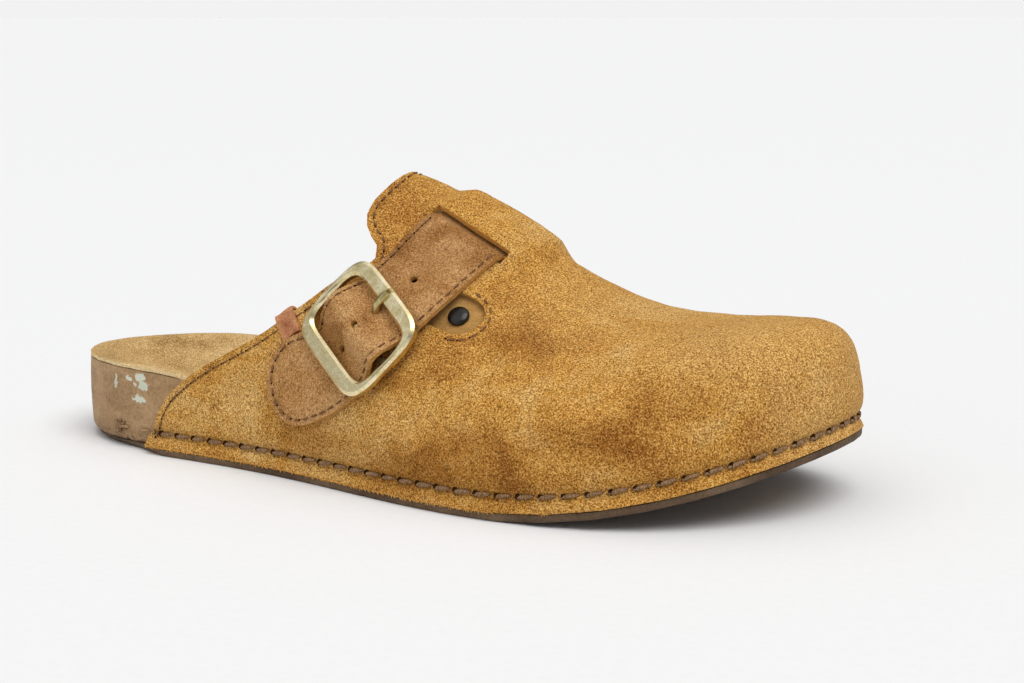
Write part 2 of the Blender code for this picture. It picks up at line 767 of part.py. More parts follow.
def notch_frame(inner=False):
    """Middle of a notch on the last, its long axis, its short axis and the outward normal."""
    outer_place = side_place(NOTCH_ALONG * LENGTH, NOTCH_UP * INSTEP_HEIGHT)
    place, outward = on_last(mirrored_side(outer_place, inner))
    front = Vector((1.0, 0.0, -NOTCH_DIP))
    front = (front - outward * front.dot(outward)).normalized()
    return place, front, outward.cross(front).normalized(), outward


def notch_cutter(inner):
    name = "inner_notch" if inner else "outer_notch"
    sizes = (NOTCH_LENGTH, NOTCH_HEIGHT, CUT_DEPTH)
    return block(name, *notch_frame(inner), sizes, rounded=True)


def sheet(name, sections, surface):
    """A closed strip: each section is a row of lower points and a row of upper points."""
    rings = [list(lower) + list(upper)[::-1] for lower, upper in sections]
    return ring_loft(name, rings, surface)


def strap_section(reach, half, lift, thickness, columns):
    """Points across the strap, laid on the last and raised by lift, a function of place."""
    place, across, _, _ = strap_frame(reach)
    rows = ([], [])
    for share in np.linspace(-1.0, 1.0, columns + 1):
        forward = float(share * half)
        spot, outward = on_last(place + across * forward)
        lower = lift(reach, forward)
        rows[0].append(spot + outward * lower)
        rows[1].append(spot + outward * (lower + thickness))
    return rows


def buckle_reach():
    return reach_of(BUCKLE_RISE)


def pivot_height():
    return GAP + CHAPE_THICKNESS + GAP + PIVOT_RADIUS


def strap_lift(reach, forward=0.0):
    """Height of the strap's underside above the last, forward of its middle line."""
    inner_slit = slit_reach(inner=True) - SLIT_SPLAY * forward
    slit = slit_reach() + SLIT_SPLAY * forward
    middle = buckle_reach()
    window = BUCKLE_LENGTH / 2 - END_BAR_WIDTH
    notch = notch_reach()
    under = -UPPER_WALL - BRIDGE_SINK
    doubled = GAP + CHAPE_THICKNESS + GAP
    over_prong = pivot_height() + PIVOT_RADIUS + GAP + 2 * PRONG_RADIUS + GAP
    stops = [
        (inner_slit - 2.2 * SLIT_WIDTH, GAP), (inner_slit - 0.4 * SLIT_WIDTH, GAP + SLIT_HOP),
        (inner_slit + 0.4 * SLIT_WIDTH, under), (slit - 0.4 * SLIT_WIDTH, under),
        (slit + 0.4 * SLIT_WIDTH, GAP + SLIT_HOP), (slit + 2.2 * SLIT_WIDTH, GAP),
        (notch - 0.6 * NOTCH_HEIGHT, GAP), (notch + 0.2 * NOTCH_HEIGHT, doubled),
        (middle - window, doubled), (middle, over_prong), (middle + window, GAP),
    ]
    for (start, low), (stop, high) in zip(stops, stops[1:]):
        if reach < stop:
            return float(low + (high - low) * ease((reach - start) / (stop - start)))
    return GAP


def notch_reach():
    """Distance along the strap of the outer notch's middle."""
    place = np.array(notch_frame()[0])
    outer = STRAP_REACH > 0
    nearest = np.argmin(np.linalg.norm(STRAP_LINE[outer] - place, axis=1))
    return float(STRAP_REACH[outer][nearest])


def thinned(values):
    """Sorted values without near repeats."""
    kept = [values[0]]
    for value in values[1:]:
        if value - kept[-1] > 0.3 * STRAP_STEP:
            kept.append(value)
    return kept


def strap():
    start, stop = float(STRAP_REACH[0]), float(STRAP_REACH[-1])
    count = int(round((stop - start) / STRAP_STEP))
    reaches = list(np.linspace(start, stop - STRAP_TIP, count))
    for slit in (slit_reach(inner=True), slit_reach()):
        reaches += [slit + share * SLIT_WIDTH for share in (-0.9, -0.45, 0.0, 0.45, 0.9)]
    reaches = thinned(sorted(reaches))
    for k in range(1, TIP_STEPS + 1):
        reaches.append(stop - STRAP_TIP * (1 - math.sin(math.pi / 2 * k / TIP_STEPS)))
    sections = []
    for reach in reaches:
        into = max(0.0, 1 - (stop - reach) / STRAP_TIP)
        half = STRAP_WIDTH / 2 * max(TIP_FLAT, math.sqrt(max(0.0, 1 - into ** TIP_SQUARE)))
        sections.append(strap_section(reach, half, strap_lift, STRAP_THICKNESS, STRAP_COLUMNS))
    made = sheet("strap", sections, material("strap_leather", "#A5713C", 0.9))
    for k in range(-HOLES_AHEAD_OF_PRONG, HOLES_BEHIND_PRONG + 1):
        if k == 0:
            cut(made, place_in_buckle(rod("prong_hole", prong_path()[1], PRONG_RADIUS + GAP)))
            continue
        # The strap sags under the prong, so that the holes beside it stand closer on the last
        reach = buckle_reach() - PRONG_HOLE + k * HOLE_PITCH - math.copysign(HOLE_SLACK, k)
        place, across, along, outward = strap_frame(reach)
        middle = place + outward * (strap_lift(reach) + STRAP_THICKNESS / 2)
        sizes = (2 * HOLE_RADIUS * ROUND_HOLE, 2 * HOLE_RADIUS, 3 * STRAP_THICKNESS)
        name = "strap_hole_%d" % (k + HOLES_AHEAD_OF_PRONG)
        cut(made, block(name, middle, along, across, outward, sizes, rounded=True))
    return made


def buckle_frame_axes():
    """Middle of the buckle's top face between its end bars, with its across, along and outward."""
    middle = buckle_reach()
    end_bar = (BUCKLE_LENGTH - END_BAR_WIDTH) / 2
    tops = []
    for side in (-1, 1):
        reach = middle + side * end_bar
        place, _, _, outward = strap_frame(reach)
        top = strap_lift(reach) + STRAP_THICKNESS + GAP + BUCKLE_SEAT + BUCKLE_THICKNESS
        tops.append(place + outward * top)
    along = (tops[1] - tops[0]).normalized()
    _, across, _, outward = strap_frame(middle)
    across = (across - along * across.dot(along)).normalized()
    up = across.cross(along)
    if up.dot(outward) < 0:
        up = -up
    return (tops[0] + tops[1]) / 2, across, along, up


def buckle_matrix():
    middle, across, along, up = buckle_frame_axes()
    turn = Matrix((across, along, up)).transposed().to_4x4()
    return Matrix.Translation(middle) @ turn


def pivot_place():
    """The pivot bar's middle in the buckle's own axes."""
    place, _, _, outward = strap_frame(buckle_reach())
    return buckle_matrix().inverted() @ (place + outward * pivot_height())


def place_in_buckle(made):
    made.matrix_parent_inverse = Matrix.Identity(4)
    made.matrix_basis = buckle_matrix()
    return made


def rounded_outline(half_across, half_along, square):
    """A bowed rectangle with round corners in the buckle's own axes."""
    points = []
    for k in range(BUCKLE_STEPS):
        turn = 2 * math.pi * (k + 0.5) / BUCKLE_STEPS
        c, s = math.cos(turn), math.sin(turn)
        p = half_across * math.copysign(abs(c) ** (2 / square), c)
        q = half_along * math.copysign(abs(s) ** (2 / square), s)
        bow = SIDE_BOW * (1 - (q / half_along) ** 2)
        points.append((p + math.copysign(bow, p) * abs(p) / half_across, q))
    return points


def arch(q):
    """Rise of the buckle's frame towards its middle."""
    return BUCKLE_ARCH * (1 - (2 * q / BUCKLE_LENGTH) ** 2)


def buckle_frame():
    across, along = BUCKLE_WIDTH / 2, BUCKLE_LENGTH / 2
    bevel = BUCKLE_BEVEL
    profile = [
        (0.0, -BUCKLE_THICKNESS, True), (0.0, -bevel, True), (bevel, 0.0, True),
        (bevel, 0.0, False), (0.0, -bevel, False), (0.0, -BUCKLE_THICKNESS, False),
    ]
    rings = []
    for inset, height, outer in profile:
        if outer:
            outline = rounded_outline(across - inset, along - inset, OUTER_SQUARE)
        else:
            outline = rounded_outline(
                across - SIDE_BAR_WIDTH + inset, along - END_BAR_WIDTH + inset, INNER_SQUARE)
        rings.append([(p, q, height + arch(q)) for p, q in outline])
    count = len(rings[0])
    points = [p for ring in rings for p in ring]
    faces = grid_faces(len(rings), count, wrap=True)
    faces += [((len(rings) - 1) * count + c, (len(rings) - 1) * count + (c + 1) % count,
               (c + 1) % count, c) for c in range(count)]
    made = mesh_object("buckle_frame", points, faces, material("aged_brass", "#B5AA80", 0.4, 1.0))
    pivot = pivot_place()
    length = BUCKLE_WIDTH - SIDE_BAR_WIDTH + 2 * SIDE_BOW
    ends = [(side * length / 2, pivot.y, pivot.z) for side in (-1, 1)]
    bar = rod("pivot_bar", ends, PIVOT_RADIUS)
    join = made.modifiers.new("pivot bar", "BOOLEAN")
    join.operation = "UNION"
    join.solver = "EXACT"
    join.object = place_in_buckle(bar)
    width = 2 * (PRONG_RADIUS + GAP)
    groove = block("prong_groove", Vector((0.0, -along, 0.0)), Vector((0, 1, 0)), Vector((1, 0, 0)),
                   Vector((0, 0, 1)), (4 * END_BAR_WIDTH, width, 2 * GROOVE_DEPTH))
    cut(made, place_in_buckle(groove))
    return place_in_buckle(made)


def rod(name, path, radius, group=None, surface=None, sides=8, taper=1.0):
    """A round bar along a path, its end rings filled."""
    path = [Vector(p) for p in path]
    rings = []
    for k, place in enumerate(path):
        ahead = path[min(k + 1, len(path) - 1)] - path[max(k - 1, 0)]
        ahead.normalize()
        side = Vector((1, 0, 0)) if abs(ahead.x) < 0.9 else Vector((0, 0, 1))
        side = (side - ahead * side.dot(ahead)).normalized()
        other = ahead.cross(side)
        size = radius * (1 + (taper - 1) * k / (len(path) - 1))
        rings.append([
            place + side * size * math.cos(2 * math.pi * (j + 0.5) / sides)
            + other * size * math.sin(2 * math.pi * (j + 0.5) / sides)
            for j in range(sides)
        ])
    count = len(rings[0])
    points = [p for ring in rings for p in ring]
    faces = grid_faces(len(rings), count, wrap=True)
    faces += [tuple(range(count)), tuple(range(len(points) - count, len(points)))]
    if surface is None:
        return cutter(name, points, faces)
    return mesh_object(name, points, faces, surface)


def prong_path():
    """The prong's middle line in the buckle's axes: its hook, and its way up through the strap."""
    pivot = pivot_place()
    hook = PIVOT_RADIUS + GAP + PRONG_RADIUS
    turns = [math.pi * k / HOOK_STEPS for k in range(HOOK_STEPS + 1)]
    over = [(0.0, pivot.y + hook * math.cos(t), pivot.z + hook * math.sin(t)) for t in turns]
    rest = PRONG_RADIUS + GAP - GROOVE_DEPTH
    inner_edge = END_BAR_WIDTH - BUCKLE_LENGTH / 2
    tip = -(BUCKLE_LENGTH / 2 - 0.35 * END_BAR_WIDTH)
    onward = [
        (0.0, pivot.y - hook - PRONG_RADIUS, pivot.z - 0.8 * PRONG_RADIUS),
        (0.0, 0.5 * inner_edge, pivot.z - 0.8 * PRONG_RADIUS),
        (0.0, inner_edge + PRONG_RADIUS, rest + arch(inner_edge)),
        (0.0, tip, rest + arch(inner_edge)),
    ]
    return over, onward


def buckle_prong():
    over, onward = prong_path()
    surface = material("dark_brass", "#8E845F", 0.45, 1.0)
    return place_in_buckle(rod("buckle_prong", over + onward, PRONG_RADIUS, surface=surface))


def chape():
    """The short strip that holds the buckle: riveted in the notch, folded round the pivot bar."""
    half = CHAPE_WIDTH / 2
    start = notch_reach() - 0.25 * NOTCH_HEIGHT
    climb = notch_reach() - 0.1 * NOTCH_HEIGHT
    out = notch_reach() + 0.28 * NOTCH_HEIGHT
    middle = buckle_reach()

    def lift(reach, forward):
        return -UPPER_WALL + (UPPER_WALL + GAP) * float(ease((reach - climb) / (out - climb)))

    reaches = [start, *np.linspace(climb, out, 5), *np.linspace(out, middle, 5)[1:]]
    sections = [strap_section(reach, half, lift, CHAPE_THICKNESS, CHAPE_COLUMNS) for reach in reaches]
    place, across, along, outward = strap_frame(middle)
    centre = place + outward * pivot_height()
    inner, outer = PIVOT_RADIUS + GAP, PIVOT_RADIUS + GAP + CHAPE_THICKNESS
    for k in range(1, FOLD_STEPS + 1):
        turn = math.radians(FOLD_TURN) * k / FOLD_STEPS
        way = along * math.sin(turn) - outward * math.cos(turn)
        rows = ([], [])
        for share in np.linspace(-1.0, 1.0, CHAPE_COLUMNS + 1):
            spot = centre + across * float(share * half)
            rows[0].append(spot + way * outer)
            rows[1].append(spot + way * inner)
        sections.append(rows)
    made = sheet("chape", sections, material("chape_leather", "#8A5A34", 0.85))
    width = 2 * (PRONG_RADIUS + GAP)
    top = place + outward * (pivot_height() + outer)
    depth = 2 * (pivot_height() + outer - 2 * GAP - CHAPE_THICKNESS)
    cut(made, block("prong_slot", top, along, across, outward, (6 * outer, width, depth)))
    return made


FACING_DEPTH = UPPER_WALL + GAP + FACING_SINK


def notch_facing():
    """The tan patch inside the outer notch that the rivet goes through."""
    place, front, short, outward = notch_frame()
    half = NOTCH_LENGTH / 2 + FACING_MARGIN
    sections = []
    for share in np.linspace(-1.0, 1.0, 13):
        width = (NOTCH_HEIGHT / 2 + FACING_MARGIN) * max(0.45, (1 - abs(share) ** 5))
        rows = ([], [])
        for q in np.linspace(-1.0, 1.0, 7):
            spot, up = on_last(place + front * float(share * half) + short * float(q * width))
            rows[0].append(spot - up * (FACING_DEPTH + FACING_THICKNESS))
            rows[1].append(spot - up * FACING_DEPTH)
        sections.append(rows)
    made = sheet("notch_facing", sections, material("facing_leather", "#B98A52", 0.8))
    spot, up = rivet_seat()
    hole = rod("rivet_hole", [spot - up * CUT_DEPTH, spot + up * CUT_DEPTH], RIVET_SHANK_RADIUS + GAP)
    cut(made, hole)
    return made


def rivet_seat():
    """Where the rivet goes through the facing, on the last."""
    place, front, _, _ = notch_frame()
    return on_last(place + front * (NOTCH_LENGTH / 2 - RIVET_FROM_FRONT))


def rivet():
    """Domed head on the facing, shank through it, flat tail behind it."""
    seat = GAP - FACING_DEPTH
    back = seat - GAP - FACING_THICKNESS - GAP
    turns = [math.pi / 2 * k / 4 for k in range(5)]
    rim = 0.3 * RIVET_HEAD_HEIGHT
    profile = [
        (RIVET_HEAD_RADIUS * math.sin(t), seat + rim + (RIVET_HEAD_HEIGHT - rim) * math.cos(t))
        for t in turns
    ]
    profile += [
        (RIVET_HEAD_RADIUS, seat), (RIVET_SHANK_RADIUS, seat), (RIVET_SHANK_RADIUS, back),
        (RIVET_TAIL_RADIUS, back), (RIVET_TAIL_RADIUS, back - RIVET_TAIL), (0.0, back - RIVET_TAIL),
    ]
    mesh = bpy.data.meshes.new("rivet")
    points = [(r, 0.0, z) for r, z in profile]
    mesh.from_pydata(points, [(k, k + 1) for k in range(len(points) - 1)], [])
    made = bpy.data.objects.new("rivet", mesh)
    PARTS.objects.link(made)
    made.parent = ROOT
    mesh.materials.append(material("black_metal", "#15130F", 0.25, 0.0))
    turned = made.modifiers.new("turned", "SCREW")
    turned.angle = 2 * math.pi
    turned.steps = 16
    turned.render_steps = 16
    turned.use_merge_vertices = True
    turned.merge_threshold = 0.01 * MM
    spot, up = rivet_seat()
    made.matrix_basis = Matrix.Translation(spot) @ up.to_track_quat("Z", "Y").to_matrix().to_4x4()
    return made


def collar_tag():
    """A small tag folded over the collar's edge behind the buckle."""
    edge = curve_through(COLLAR, 200)
    slope = np.gradient(edge, axis=0)
    centre = int(np.argmin(np.abs(edge[:, 0] - TAG_ALONG * LENGTH) + 10 * (edge[:, 1] > INSTEP_HEIGHT)))
    ahead = Vector((slope[centre][0], 0.0, slope[centre][1])).normalized()
    rings = []
    outside, inside = GAP, -UPPER_WALL - GAP
    over = GAP + EDGE_SLANT
    for share in np.linspace(-0.5, 0.5, 5):
        x = edge[centre][0] + ahead.x * share * TAG_WIDTH
        height = edge[centre][1] + ahead.z * share * TAG_WIDTH
        top, normal = on_last(side_place(float(x), float(height)))
        down = ahead.cross(normal).normalized()
        down = down if down.z < 0 else -down
        ring = []
        drops = [TAG_DROP, 0.66 * TAG_DROP, 0.33 * TAG_DROP, 0.0]
        for drop in drops:
            spot, up = on_last(top + down * drop)
            ring.append(spot + up * (outside + TAG_THICKNESS))
        ring.append(top - down * (over + 0.6 * TAG_THICKNESS) + normal * (outside + 0.4 * TAG_THICKNESS))
        ring.append(top - down * (over + TAG_THICKNESS) + normal * (outside + inside) / 2)
        ring.append(top - down * (over + 0.6 * TAG_THICKNESS) + normal * (inside - 0.4 * TAG_THICKNESS))
        for drop in drops[::-1]:
            spot, up = on_last(top + down * drop)
            ring.append(spot + up * (inside - TAG_THICKNESS))
        for drop in drops:
            spot, up = on_last(top + down * drop)
            ring.append(spot + up * inside)
        ring.append(top - down * over + normal * inside)
        ring.append(top - down * over + normal * outside)
        for drop in drops[::-1]:
            spot, up = on_last(top + down * drop)
            ring.append(spot + up * outside)
        rings.append(ring)
    return ring_loft("collar_tag", rings, material("tag_leather", "#9A5A3C", 0.85))


outsole()
footbed()
insole()
upper()
strap()
chape()
notch_facing()
rivet()
buckle_frame()
buckle_prong()
collar_tag()
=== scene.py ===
"""Clog slipper, right foot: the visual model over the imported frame. Metres, +Z up, toe towards +X."""
import math
from collections import namedtuple

import bmesh
import bpy
import numpy as np
from mathutils import Matrix, Vector
from mathutils.bvhtree import BVHTree
from mathutils.kdtree import KDTree
from mathutils.noise import fractal


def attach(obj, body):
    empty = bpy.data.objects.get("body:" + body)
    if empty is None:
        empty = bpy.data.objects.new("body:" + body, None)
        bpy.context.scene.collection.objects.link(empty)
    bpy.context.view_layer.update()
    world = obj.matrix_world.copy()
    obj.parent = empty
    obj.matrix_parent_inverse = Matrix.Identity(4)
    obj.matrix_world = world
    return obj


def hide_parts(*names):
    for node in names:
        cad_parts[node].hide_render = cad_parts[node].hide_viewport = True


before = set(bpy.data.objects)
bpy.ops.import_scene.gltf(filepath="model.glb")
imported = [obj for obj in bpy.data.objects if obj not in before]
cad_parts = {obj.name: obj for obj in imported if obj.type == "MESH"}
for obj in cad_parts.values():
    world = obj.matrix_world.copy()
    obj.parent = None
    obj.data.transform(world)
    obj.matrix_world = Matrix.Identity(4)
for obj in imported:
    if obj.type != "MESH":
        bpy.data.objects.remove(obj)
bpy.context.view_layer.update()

MM = 0.001

# Driving sizes, as in the part's source; its tables count from the footbed's heel
HEEL_REST = 38.0 * MM
LENGTH = 276.5 * MM
HALF_BREADTH = 54.0 * MM
INSTEP_HEIGHT = 97.0 * MM
TOE_SPRING = 19.0 * MM
SOLE_THICKNESS = 2.3 * MM
UPPER_WALL = 1.8 * MM
GAP = 0.3 * MM
STRAP_WIDTH = 29.0 * MM
STRAP_TIP = 14.0 * MM
TIP_SQUARE = 2.2
NOTCH_LENGTH = 42.0 * MM
NOTCH_HEIGHT = 14.5 * MM
NOTCH_ALONG = 0.558
NOTCH_UP = 0.615
NOTCH_DIP = 0.36
WALL_SHARE = 0.2
RIDGE_END = 0.862
RIDGE_SOFTNESS = 0.05
SPRING_START = 0.66
STRAP_START_RISE = 0.392
UPPER_START = 0.14
FINE_STATIONS = 240

# The thick sole thread: its line over the sole, its stitches, its needle holes and its channel
SOLE_LINE_BACK = 46.5 * MM
SOLE_LINE_HEIGHT = 7.56 * MM
SOLE_PITCH = 7.0 * MM
SOLE_STITCH = 6.8 * MM
SOLE_THREAD = 1.5 * MM
SOLE_THREAD_SINK = 0.35 * MM
SOLE_LEAN = (0.0, 0.0, 0.10)
SOLE_HOLE_LENGTH = 2.0 * MM
SOLE_HOLE_WIDTH = 2.1 * MM
SOLE_HOLE_SINK = 0.75 * MM
SOLE_HOLE_START = 0.02 * MM
SOLE_CHANNEL_DEPTH = 0.95 * MM
SOLE_CHANNEL_WIDTH = 1.7 * MM

# That thread's start on the heel's outer side, with its knot
HEEL_LINE_BACK = 31.0 * MM
HEEL_LINE_FRONT = 44.5 * MM
HEEL_LINE_HEIGHT = 7.3 * MM
HEEL_LINE_LIFT = 0.8 * MM
HEEL_STITCH_START = 2.0 * MM
HEEL_THREAD_WIDTH = 1.1 * MM
HEEL_LEAN = (0.0, 0.0, 0.05)
KNOT_PITCH = 1.3 * MM
KNOT_BEAD = 2.3 * MM
KNOT_THREAD = 1.0 * MM
KNOT_SCATTER = 0.7
Turn = namedtuple("Turn", "start end")
KNOT_TURNS = [
    Turn((-1.5, 0.2, 1.1), (2.6, -0.4, -0.6)),
    Turn((-1.2, 0.0, -0.9), (2.2, -0.4, 1.2)),
    Turn((0.4, -0.1, -1.6), (0.8, -0.1, 1.7)),
]

# Loose fibres along the upper's foot, and one white fibre of lint
FUZZ_HEIGHT = 2.7 * MM
FUZZ_PITCH = 0.65 * MM
FUZZ_FIBRE = 1.9 * MM
FUZZ_THICKNESS = 0.3 * MM
FUZZ_LIFT = 0.05 * MM
FUZZ_LEAN = (0.0, 0.0, -1.0)
FUZZ_SCATTER = 1.6
LINT_X = 157 * MM
LINT_LIFT = 0.6 * MM
LINT_REACH = Vector((0.5, -0.4, 5.5)) * MM
LINT_PITCH = 9.0 * MM
LINT_FIBRE = 4.5 * MM
LINT_THICKNESS = 0.3 * MM

# The fine edge thread of the collar, the notches and the strap
EDGE_PITCH = 3.7 * MM
EDGE_STITCH = 2.7 * MM
EDGE_THREAD = 0.7 * MM
EDGE_SINK = 0.05 * MM
EDGE_HOLE_LENGTH = 0.9 * MM
EDGE_HOLE_WIDTH = 0.6 * MM
EDGE_HOLE_SINK = 0.15 * MM
STRAP_SINK = 0.02 * MM
STRAP_HOLE_SINK = 0.1 * MM
COLLAR_MARGIN = 2.2 * MM
NOTCH_MARGIN = 1.8 * MM
STRAP_MARGIN = 1.7 * MM
BRIDGE_COVER = 24.5 * MM
CHANNEL_DEPTH = 0.45 * MM
CHANNEL_WIDTH = 1.1 * MM
STRAP_CHANNEL_SHARE = 0.8

# Refining: how far split triangles follow their normals, and how near points are joined
BULGE = 0.7
PRONG_SWELL = 0.5 * MM
CAD_JOIN = 0.004 * MM
FINE_JOIN = 0.002 * MM

# How many points the last and the sewing lines are looked up at
PLAN_POINTS = 2400
LAST_RISES = 61
STRAP_LINE_POINTS = 240
NOTCH_RISES = 401
COLLAR_POINTS = 160
TAB_POINTS = 24
NOTCH_POINTS = 24
EDGE_POINTS = 90
TIP_POINTS = 60
TREE_STEP = 0.8 * MM

# Where sewing starts, stops or is left out: at the foot, past the middle, and near the strap
COLLAR_START = 4 * MM
COLLAR_FOOT = 6 * MM
ACROSS_MIDDLE = 8 * MM
STRAP_CLEARANCE = 1.5 * MM
SURFACE_SLIP = 2.5 * MM
SHORTEST_RUN = 6

# Creases fade out towards the strap and the foot
STRAP_QUIET = 2 * MM
STRAP_QUIET_FADE = 7 * MM
FOOT_QUIET = 12 * MM
FOOT_QUIET_FADE = 6 * MM

# How squarely a face looks away from the last, or upwards, before it counts as outside or top
CUT_FACING = 0.4
SIDE_FACING = 0.35

# Search rays start clear of the surface or of the whole shoe, and end at RAY_REACH
NOTCH_RAY_LIFT = 6 * MM
STRAP_RAY_LIFT = 12 * MM
RAY_START = 20 * MM
RAY_REACH = 200 * MM
CLEAR_SIDE = 90 * MM
CLEAR_TOP = 130 * MM

# The last, the collar and the strap's route, as in the part's source: shares of the driving sizes
Plan = namedtuple("Plan", "along across")
PLAN = [
    Plan(0.000, -0.034), Plan(0.031, -0.379), Plan(0.087, -0.572), Plan(0.157, -0.649),
    Plan(0.279, -0.689), Plan(0.434, -0.802), Plan(0.588, -0.970), Plan(0.712, -1.015),
    Plan(0.825, -0.910), Plan(0.918, -0.629), Plan(0.974, -0.281), Plan(1.000, 0.155),
    Plan(0.985, 0.496), Plan(0.938, 0.750), Plan(0.845, 0.923), Plan(0.732, 0.990),
    Plan(0.609, 0.912), Plan(0.464, 0.720), Plan(0.331, 0.626), Plan(0.209, 0.664),
    Plan(0.118, 0.638), Plan(0.046, 0.412),
]
Section = namedtuple("Section", "along ridge lean wall square_out square_up")
SECTIONS = [
    Section(0.12, 1.269, 0.032, 0.263, 2.10, 1.53),
    Section(0.24, 1.171, 0.066, 0.230, 1.97, 1.51),
    Section(0.34, 1.088, 0.094, 0.182, 1.87, 1.49),
    Section(0.44, 0.998, 0.128, 0.143, 1.76, 1.45),
    Section(0.52, 0.919, 0.158, 0.131, 1.67, 1.48),
    Section(0.60, 0.821, 0.171, 0.124, 1.53, 1.58),
    Section(0.68, 0.684, 0.168, 0.118, 1.55, 1.75),
    Section(0.76, 0.588, 0.165, 0.115, 1.90, 2.01),
    Section(0.84, 0.555, 0.160, 0.111, 2.67, 2.35),
    Section(0.92, 0.571, 0.155, 0.107, 3.30, 2.60),
    Section(1.00, 0.620, 0.150, 0.103, 3.80, 2.80),
]
Collar = namedtuple("Collar", "along up")
COLLAR = [
    Collar(0.170, 0.045), Collar(0.183, 0.095), Collar(0.192, 0.155), Collar(0.204, 0.209),
    Collar(0.224, 0.258), Collar(0.251, 0.314), Collar(0.288, 0.373), Collar(0.338, 0.450),
    Collar(0.393, 0.560), Collar(0.450, 0.679), Collar(0.476, 0.722), Collar(0.474, 0.757),
    Collar(0.459, 0.795), Collar(0.446, 0.845), Collar(0.444, 0.885), Collar(0.448, 0.925),
    Collar(0.453, 0.961),
]
Route = namedtuple("Route", "along rise")
STRAP_ROUTE = [
    Route(0.3700, 0.305), Route(0.4100, 0.345), Route(0.4510, 0.392), Route(0.4930, 0.487),
    Route(0.5320, 0.592), Route(0.5530, 0.700), Route(0.5680, 0.795), Route(0.5830, 0.900),
    Route(0.5890, 1.000),
]

# Soft creases of the suede: side is -1 for the outer side and 1 for the inner one;
# x and z are the middle seen from the side in mm from the heel and the floor, turn in degrees.
Crease = namedtuple("Crease", "side x z half_length half_width turn height")
CREASES = [
    Crease(-1, 226, 27, 17, 3.4, 28, -0.75), Crease(-1, 232, 34, 15, 3.6, 24, 0.55),
    Crease(-1, 219, 21, 14, 3.0, 34, 0.50), Crease(-1, 240, 42, 13, 4.0, 12, -0.55),
    Crease(-1, 205, 46, 22, 4.5, -22, -0.55), Crease(-1, 190, 33, 24, 4.0, 6, 0.45),
    Crease(-1, 178, 25, 26, 3.4, 2, -0.50), Crease(-1, 160, 31, 24, 3.6, 3, -0.45),
    Crease(-1, 150, 22, 26, 3.2, 0, 0.40), Crease(-1, 120, 24, 22, 3.4, 4, -0.50),
    Crease(-1, 96, 18, 20, 3.2, 14, 0.45), Crease(-1, 84, 22, 14, 3.0, 34, -0.45),
    Crease(-1, 186, 58, 16, 4.0, -38, -0.50), Crease(-1, 253, 24, 11, 3.4, 64, -0.50),
    Crease(1, 205, 40, 24, 4.2, -16, -0.60), Crease(1, 178, 30, 26, 3.8, 4, 0.45),
    Crease(1, 226, 30, 18, 3.6, 24, -0.60), Crease(1, 150, 26, 26, 3.4, 0, -0.45),
    Crease(1, 110, 24, 22, 3.4, 10, 0.45), Crease(1, 190, 56, 16, 4.0, -36, -0.50),
]

# How far a crease strays from its line and how quickly, per mm along it; the suede's slow unevenness
CREASE_WAVER = 0.05
CREASE_WAVES = 0.11
UNEVEN_PER_METRE = 42.0
UNEVEN_HEIGHT = 0.3 * MM


def column(table, name):
    """A table's column as an array."""
    return np.array([getattr(row, name) for row in table])


def smooth(table, name, along, by="along"):
    """A table's column as a smooth curve of another column, straight beyond its ends."""
    knots = column(table, by)
    values = column(table, name)
    slopes = np.gradient(values, knots)
    along = np.asarray(along, float)
    i = np.clip(np.searchsorted(knots, along, side="right") - 1, 0, len(knots) - 2)
    span = knots[i + 1] - knots[i]
    t = (along - knots[i]) / span
    k = np.clip(t, 0.0, 1.0)
    inside = (
        (2 * k ** 3 - 3 * k ** 2 + 1) * values[i] + (k ** 3 - 2 * k ** 2 + k) * span * slopes[i]
        + (3 * k ** 2 - 2 * k ** 3) * values[i + 1] + (k ** 3 - k ** 2) * span * slopes[i + 1]
    )
    return inside + (t - k) * span * np.where(t < 0, slopes[0], slopes[-1])


def reach_along(points):
    """How far each point lies along its row of points."""
    return np.concatenate([[0.0], np.cumsum(np.linalg.norm(np.diff(points, axis=0), axis=1))])


def curve_through(points, reach, wanted):
    """Places at the wanted reaches on a smooth curve through flat points."""
    Knot = namedtuple("Knot", "reach first second")
    rows = [Knot(r, *p) for r, p in zip(reach, points)]
    return np.stack([smooth(rows, name, wanted, by="reach") for name in ("first", "second")], axis=1)


def ease(value):
    """Rises softly from 0 to 1 as the value does."""
    t = np.clip(value, 0.0, 1.0)
    return t * t * (3 - 2 * t)


def plan_sides(count):
    """Outline points and outward normals of the outer and inner side, from heel to toe."""
    knots = np.array([(row.along * LENGTH, row.across * HALF_BREADTH) for row in PLAN])
    closed = np.concatenate([knots[-3:], knots, knots[:4]])
    reach = reach_along(closed)
    wanted = np.linspace(reach[3], reach[3 + len(knots)], PLAN_POINTS, endpoint=False)
    dense = curve_through(closed, reach, wanted)
    heading = np.roll(dense, -1, axis=0) - np.roll(dense, 1, axis=0)
    heading /= np.linalg.norm(heading, axis=1)[:, None]
    normals = np.stack([heading[:, 1], -heading[:, 0]], axis=1)
    heel = int(np.argmin(dense[:, 0]))
    toe = int(np.argmax(dense[:, 0]))
    order = np.arange(heel, heel + len(dense) + 1) % len(dense)
    split = (toe - heel) % len(dense)
    sides = []
    for chosen in (order[:split + 1], order[split:][::-1]):
        along = dense[chosen, 0]
        turn = np.arccos(np.clip(1 - 2 * (along - along[0]) / (along[-1] - along[0]), -1, 1))
        at = np.linspace(0.0, math.pi, count + 1)
        place = np.stack([np.interp(at, turn, dense[chosen, k]) for k in (0, 1)], axis=1)
        outward = np.stack([np.interp(at, turn, normals[chosen, k]) for k in (0, 1)], axis=1)
        outward /= np.linalg.norm(outward, axis=1)[:, None]
        sides.append((place, outward))
    return sides


